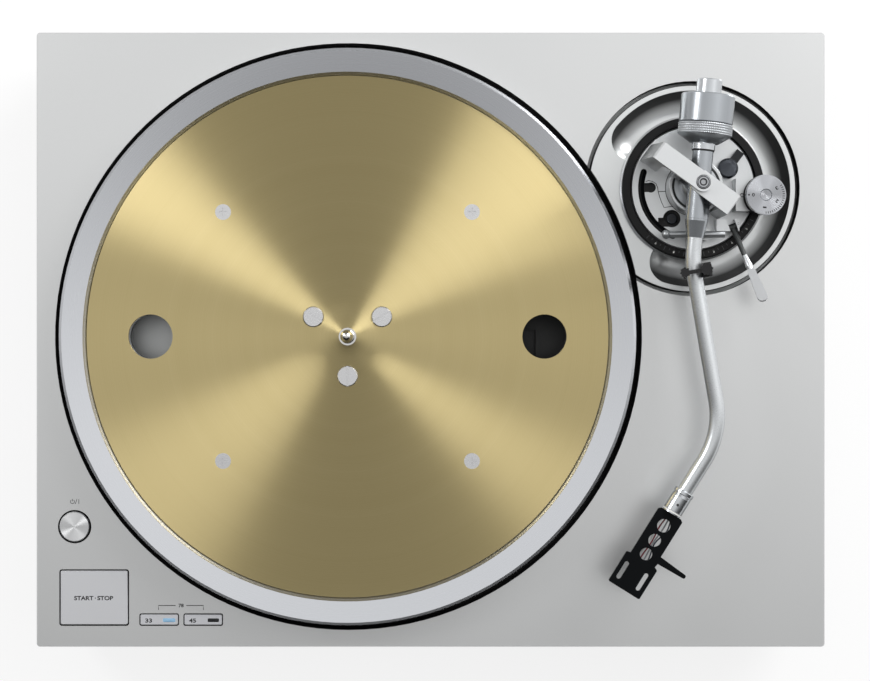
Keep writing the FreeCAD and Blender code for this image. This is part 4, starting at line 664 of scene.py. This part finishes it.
dial = {"middle": middleOf("antiskate_dial"), "top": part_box("antiskate_dial")[1][2],
        "digits": {"0": 180, "1": 264, "2": 330, "3": 392}, "reach": 7.1, "high": 2.0, "wide": 1.5,
        "narrow": 0.6, "tick": (9.3, 10.6), "tickWidth": 0.38, "ticks": (270, 392, 18),
        "dot": {"at": -9.6, "size": 1.0, "rise": 0.02}}
for digit, angle in dial["digits"].items():
    turn = math.radians(angle)
    spot = dial["middle"][:2] + dial["reach"] * mm * np.array([math.cos(turn), math.sin(turn)])
    wide = dial["wide"] * (dial["narrow"] if digit == "1" else 1)
    lettering("dialDigit." + digit, digit, wide, dial["high"], spot, dial["top"], "recess_black",
              "antiskate_dial", black, turn=angle - 180)
ticks("dialTicks", dial["middle"], np.linspace(*dial["ticks"]), *dial["tick"], dial["tickWidth"],
      dial["top"], "recess_black", "antiskate_dial", black)
dot = dial["dot"]
domed("dialDot", dot["size"], dot["size"], dot["rise"], dial["middle"][:2] + np.array([dot["at"], 0]) * mm,
      dial["top"] + printLift, "recess_black", "antiskate_dial", black, squareness=1.0)

index = {"at": dial["middle"][:2] + np.array([-13.0, 0.0]) * mm, "radius": 0.95, "tip": 1.6,
         "loop": (50, 310, 19), "width": 0.42, "top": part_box("antiskate_housing")[1][2]}
loop = np.radians(np.linspace(*index["loop"]))
mark = np.vstack([[(index["tip"], 0)], index["radius"] * np.stack([np.cos(loop), np.sin(loop)], 1)])
printedLine("skateIndex", index["at"] + mark * mm, index["width"], index["top"], "recess_black",
            "arm_base", black, closed=True)

ringScale = {"first": 227.0, "last": 331.0, "count": 25, "long": (37.0, 39.4), "short": (37.0, 38.2),
             "width": 0.22, "digit": {"reach": 38.4, "wide": 0.8, "high": 1.2},
             "top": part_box("height_ring")[1][2]}
marks = np.linspace(ringScale["first"], ringScale["last"], ringScale["count"])
for name, picked in (("long", marks[::4]), ("short", np.delete(marks, slice(None, None, 4)))):
    ticks("ringTicks." + name, pivot, picked, *ringScale[name], ringScale["width"], ringScale["top"],
          "arm_base_silver", "height_ring", grey)
digit = ringScale["digit"]
for number, angle in enumerate(marks[2::4]):
    turn = math.radians(angle)
    spot = pivot[:2] + digit["reach"] * mm * np.array([math.cos(turn), math.sin(turn)])
    lettering(f"ringDigit.{number}", str(number), digit["wide"], digit["high"], spot, ringScale["top"],
              "arm_base_silver", "height_ring", white, turn=angle + 90)

cueSign = {"at": pivot[:2] + np.array([24.3, -20.9]) * mm, "top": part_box("cue_housing")[1][2] - 1 * mm,
           "width": 0.2, "arrow": ((-0.5, 0.0), (0.0, 0.8), (0.5, 0.0)), "bar": ((-0.5, -0.6), (0.5, -0.6))}
for part in ("arrow", "bar"):
    printedLine("cueSign." + part, cueSign["at"] + np.array(cueSign[part]) * mm, cueSign["width"],
                cueSign["top"], "recess_black", "arm_base", black)
print("scales ready")


# Counterweight end of the arm: the knurled force dial and the soft ring on the rear shaft

armway = -rearward
forceDial = {"outer": 15.2, "band": (-33.1, -27.7), "rows": 25, "teeth": 92, "pitch": 6, "depth": 0.010,
             "before": [(10.55, -33.5), (14.9, -33.5)], "perTooth": 6,
             "after": [(14.6, -27), (8.1, -22.7), (7.4, -22.7), (7.4, -26.8), (10.55, -26.8),
                       (10.55, -33.5)]}
bandRows = np.linspace(*forceDial["band"], forceDial["rows"])
profile = [*forceDial["before"], *((forceDial["outer"], row) for row in bandRows), *forceDial["after"]]


# The ripple on the band is 1 + depth * (cos(teeth * t) - 0.6 cos(2 pi row / pitch) - 1) / 1.6
def knurl(row, turn):
    first = len(forceDial["before"])
    onBand = (row >= first) & (row < first + forceDial["rows"])
    cells = np.cos(forceDial["teeth"] * turn) - 0.6 * np.cos(tau * row / forceDial["pitch"])
    return 1 + forceDial["depth"] * onBand * (cells - 1) / 1.6


knurled = spun("forceDial", profile, pivot, armway, "dial_knurled", "force_dial",
               steps=forceDial["teeth"] * forceDial["perTooth"], ripple=knurl)
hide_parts("force_dial")


shaftRing = {"middle": 5.75, "radius": 0.62, "along": -18.8, "sides": 16, "steps": 72}
outline = [(shaftRing["middle"] + shaftRing["radius"] * math.cos(t),
            shaftRing["along"] - shaftRing["radius"] * math.sin(t))
           for t in np.linspace(0, -tau, shaftRing["sides"] + 1)]
outline[-1] = outline[0]
spun("shaftRing", outline, pivot, armway, "damping_rubber", "arm", steps=shaftRing["steps"])


# Head end: a pale washer behind the headshell, a pin on the locking collar

headRun = 45                                  # from the start of the tube's last straight run to the collar
headStart = collarAt - headward * headRun * mm
headWasher = [(5.65, 51.7), (5.65, 52.35), (5.0, 52.35), (5.0, 51.7), (5.65, 51.7)]
spun("headWasher", headWasher, headStart, headward, "arm_base_silver", "headshell", material=white)
collarPin = {"at": 47.2, "outline": [(0, 5.2), (0.75, 5.2), (0.75, 6.2), (0.55, 6.4), (0, 6.4)]}
spun("collarPin", collarPin["outline"], headStart + headward * collarPin["at"] * mm, (0, 0, 1),
     "recess_black", "lock_collar", steps=20)

leads = {"rear": 53.1, "radius": 0.42,
         "path": ((10.2, 1.5, -2.4), (19.2, 0.6, -1.8), (28.2, 1.3, -1.6), (34.7, 1.1, -1.4)),
         "wires": {"white": (-2.4, -1.2, tone(214, 212, 208)), "maroon": (-0.8, -1.7, tone(126, 40, 52)),
                   "grey": (0.8, -1.2, tone(150, 152, 156)), "dark": (2.4, -1.7, tone(40, 48, 62))}}
headSide = np.cross((0, 0, 1), headward)
for name, (spread, drop, color) in leads["wires"].items():
    stations = [(3.9, spread, drop), *((u, v * spread, w) for u, v, w in leads["path"])]
    knots = [headStart + (headward * (leads["rear"] + u) + headSide * v + np.array([0, 0, w])) * mm
             for u, v, w in stations]
    coat = moulded("lead." + name, color, roughness=0.35, size=0.6, depth=0.003, uneven=0.05)
    tube("lead." + name, knots, leads["radius"], "lead_colours", "headshell", coat)
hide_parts("lead_wires")
print("arm pieces ready")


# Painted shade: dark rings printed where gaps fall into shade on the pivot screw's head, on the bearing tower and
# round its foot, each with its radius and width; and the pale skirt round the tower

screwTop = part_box("pivot_screw")[1][2]
towerTop = panelTop + 20 * mm
gapShadeRings = {"pivotRing.outer": (3.1, 0.45, screwTop), "pivotRing.inner": (1.75, 0.7, screwTop),
             "towerRing": (13.0, 1.2, towerTop), "plateRing": (15.9, 0.4, plateTop)}
circle = np.linspace(0, tau, 64, endpoint=False)
for name, (reach, wide, height) in gapShadeRings.items():
    path = pivot[:2] + reach * mm * np.stack([np.cos(circle), np.sin(circle)], 1)
    printedLine(name, path, wide, height, "recess_black", "arm_base", black, closed=True)
towerSkirt = [(13.55, 4.6), (15.5, 4.6), (15.5, 19.5), (15.1, 20), (13.8, 20), (13.55, 19.7), (13.55, 4.6)]
spun("towerSkirt", towerSkirt, np.array([*pivot[:2], panelTop]), (0, 0, 1), "arm_base_silver", "arm_base",
     steps=96)

# Shallow steps in the arm's base plate, drawn as dark lines of painted shade along their edges
stepShadeWidth = 0.4
stepShadeLines = {
    "strap": ((-27.2, 3.7), (-25.6, 4.3), (-23.25, 3.8), (-21.3, 2.6), (-20.3, 0.24), (-20.0, -2.1),
              (-19.2, -5.0), (-18.0, -8.3), (-16.6, -11.2), (-13.7, -10.7), (-11.3, -10.5)),
    "seam": ((-20.0, -2.1), (-15.9, -1.9)),
}
for name, path in stepShadeLines.items():
    printedLine("plateGroove." + name, pivot[:2] + np.array(path) * mm, stepShadeWidth, plateTop,
                "recess_black", "arm_base", black)


# Screw in the base plate's round pocket, with its cross recess drawn as black lines of painted shade

plateScrew = {"at": pivot + np.array([-12.2, -17.5, 0]) * mm, "floor": plateTop - 2.0 * mm, "radius": 3.3,
              "rise": 1.5, "bevel": 0.5, "cross": 1.7, "width": 0.6, "color": tone(52, 54, 57)}
base = np.array([*plateScrew["at"][:2], plateScrew["floor"]])
radius, rise, bevel = plateScrew["radius"], plateScrew["rise"], plateScrew["bevel"]
blackened = turned("screw.black", plateScrew["color"], base, roughness=0.3)
spun("plateScrew", [(0, 0), (radius, 0), (radius, rise - bevel), (radius - bevel, rise), (0, rise)], base,
     (0, 0, 1), "screw_steel", "arm_base", steps=40, material=blackened)
# painted shade in the cross recess
for number, heading in enumerate(((1, 0), (0, 1))):
    reach = plateScrew["cross"] * mm * np.array(heading)
    printedLine(f"plateScrew.cross{number}", [base[:2] - reach, base[:2] + reach], plateScrew["width"],
                base[2] + rise * mm + number * printLift, "recess_black", "arm_base", black)


# Coloured rings round the two signal sockets

signals = {"inner": 6.55, "outer": 7.55, "thick": 1.0, "edge": 6.5, "recess": 12,
           "colors": {"signalRing.left": tone(216, 214, 208), "signalRing.right": tone(168, 32, 36)}}
low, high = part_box("signal_sockets")
panelBack = high[1] - signals["recess"] * mm
inner, outer, thick = signals["inner"], signals["outer"], signals["thick"]
sides = (low[0] + signals["edge"] * mm, high[0] - signals["edge"] * mm)
for side, (name, color) in zip(sides, signals["colors"].items()):
    socketMiddle = np.array([side, panelBack, (low[2] + high[2]) / 2])
    coat = moulded(name + ".coat", color, roughness=0.4)
    spun(name, [(outer, 0), (outer, thick), (inner, thick), (inner, 0), (outer, 0)], socketMiddle,
         (0, 1, 0), "socket_metal", "deck", material=coat)
print("small parts ready")


# Camera, straight above as in the photograph

view = {"place": (0.0025, -0.0005, 1.373), "lens": 91.8, "sensor": 36.0}
camera = bpy.data.objects.new("camera", bpy.data.cameras.new("camera"))
camera.data.lens = view["lens"]
camera.data.sensor_width = view["sensor"]
camera.location = view["place"]
bpy.context.scene.collection.objects.link(camera)
bpy.context.scene.camera = camera


# Floor: white to the eye and in reflections, with the player's shadow left faintly on it

floorLook = {"half": 12.0, "white": 1.0, "kept": 0.16}
half = floorLook["half"]
floorMesh = bpy.data.meshes.new("floor")
floorMesh.from_pydata([(-half, -half, 0), (half, -half, 0), (half, half, 0), (-half, half, 0)], [],
                      [(0, 1, 2, 3)])
floor = bpy.data.objects.new("floor", floorMesh)
bpy.context.scene.collection.objects.link(floor)
paint = Paint("floor")
rays = paint.node("ShaderNodeLightPath")
seen = Field(paint, rays.outputs["Is Camera Ray"])
for other in ("Is Glossy Ray", "Is Transmission Ray"):
    seen = seen + Field(paint, rays.outputs[other])
shown = seen.worked("MINIMUM", 1.0) * (1 - floorLook["kept"])
matt = paint.node("ShaderNodeBsdfDiffuse", {}, {"Color": tone(246)})
plain = paint.node("ShaderNodeEmission", {}, {"Color": tone(255), "Strength": floorLook["white"]})
both = paint.node("ShaderNodeMixShader", {}, {0: shown, 1: matt.outputs[0], 2: plain.outputs[0]})
paint.node("ShaderNodeOutputMaterial", {}, {0: both.outputs[0]})
floorMesh.materials.append(paint.material)


# Light: a surround that is brightest overhead and towards the back, and two soft lamps at the back that
# make the bright streaks on the brass

sky = {"low": 0.1, "high": 1.9, "lean": 0.42, "toward": (0.15, 0.99, 0), "wide": 0.35, "deep": 2.0,
       "start": 0.12, "end": 1.0, "fall": 0.8}
world = bpy.data.worlds.new("surround")
bpy.context.scene.world = world
paint = Paint("surround", world, "Generated")
toSide = paint.along((0, 0, 0), (1, 0, 0))
toBack = paint.along((0, 0, 0), (0, 1, 0))
spread = ((toSide * sky["wide"]).power(2.0) + (toBack * sky["deep"]).power(2.0)).power(0.5)
glow = 1.0 - spread.rising(sky["start"], sky["end"]) * sky["fall"]
leaning = paint.along((0, 0, 0), sky["toward"]).rising(-sky["lean"], sky["lean"])
lean = leaning * (sky["high"] - sky["low"]) + sky["low"]
shine = paint.node("ShaderNodeBackground", {}, {"Color": tone(255), "Strength": glow * lean})
paint.node("ShaderNodeOutputWorld", {}, {0: shine.outputs[0]})

lamps = {
    "backLeft": {"turn": 145, "out": 1.25, "height": 1.10, "size": 0.55, "power": 9.5},
    "backRight": {"turn": 43, "out": 1.45, "height": 0.95, "size": 1.15, "power": 28.0},
}
for name, lamp in lamps.items():
    data = bpy.data.lights.new(name, "AREA")
    data.shape = "DISK"
    data.size = lamp["size"]
    data.energy = lamp["power"]
    shining = bpy.data.objects.new(name, data)
    angle = math.radians(lamp["turn"])
    shining.location = (spindle[0] + lamp["out"] * math.cos(angle),
                        spindle[1] + lamp["out"] * math.sin(angle), lamp["height"])
    toward = Vector((spindle[0], spindle[1], panelTop)) - shining.location
    shining.rotation_euler = toward.to_track_quat("-Z", "Y").to_euler()
    bpy.context.scene.collection.objects.link(shining)

bpy.context.scene.view_settings.view_transform = "Standard"
print("camera, floor and lamps ready")
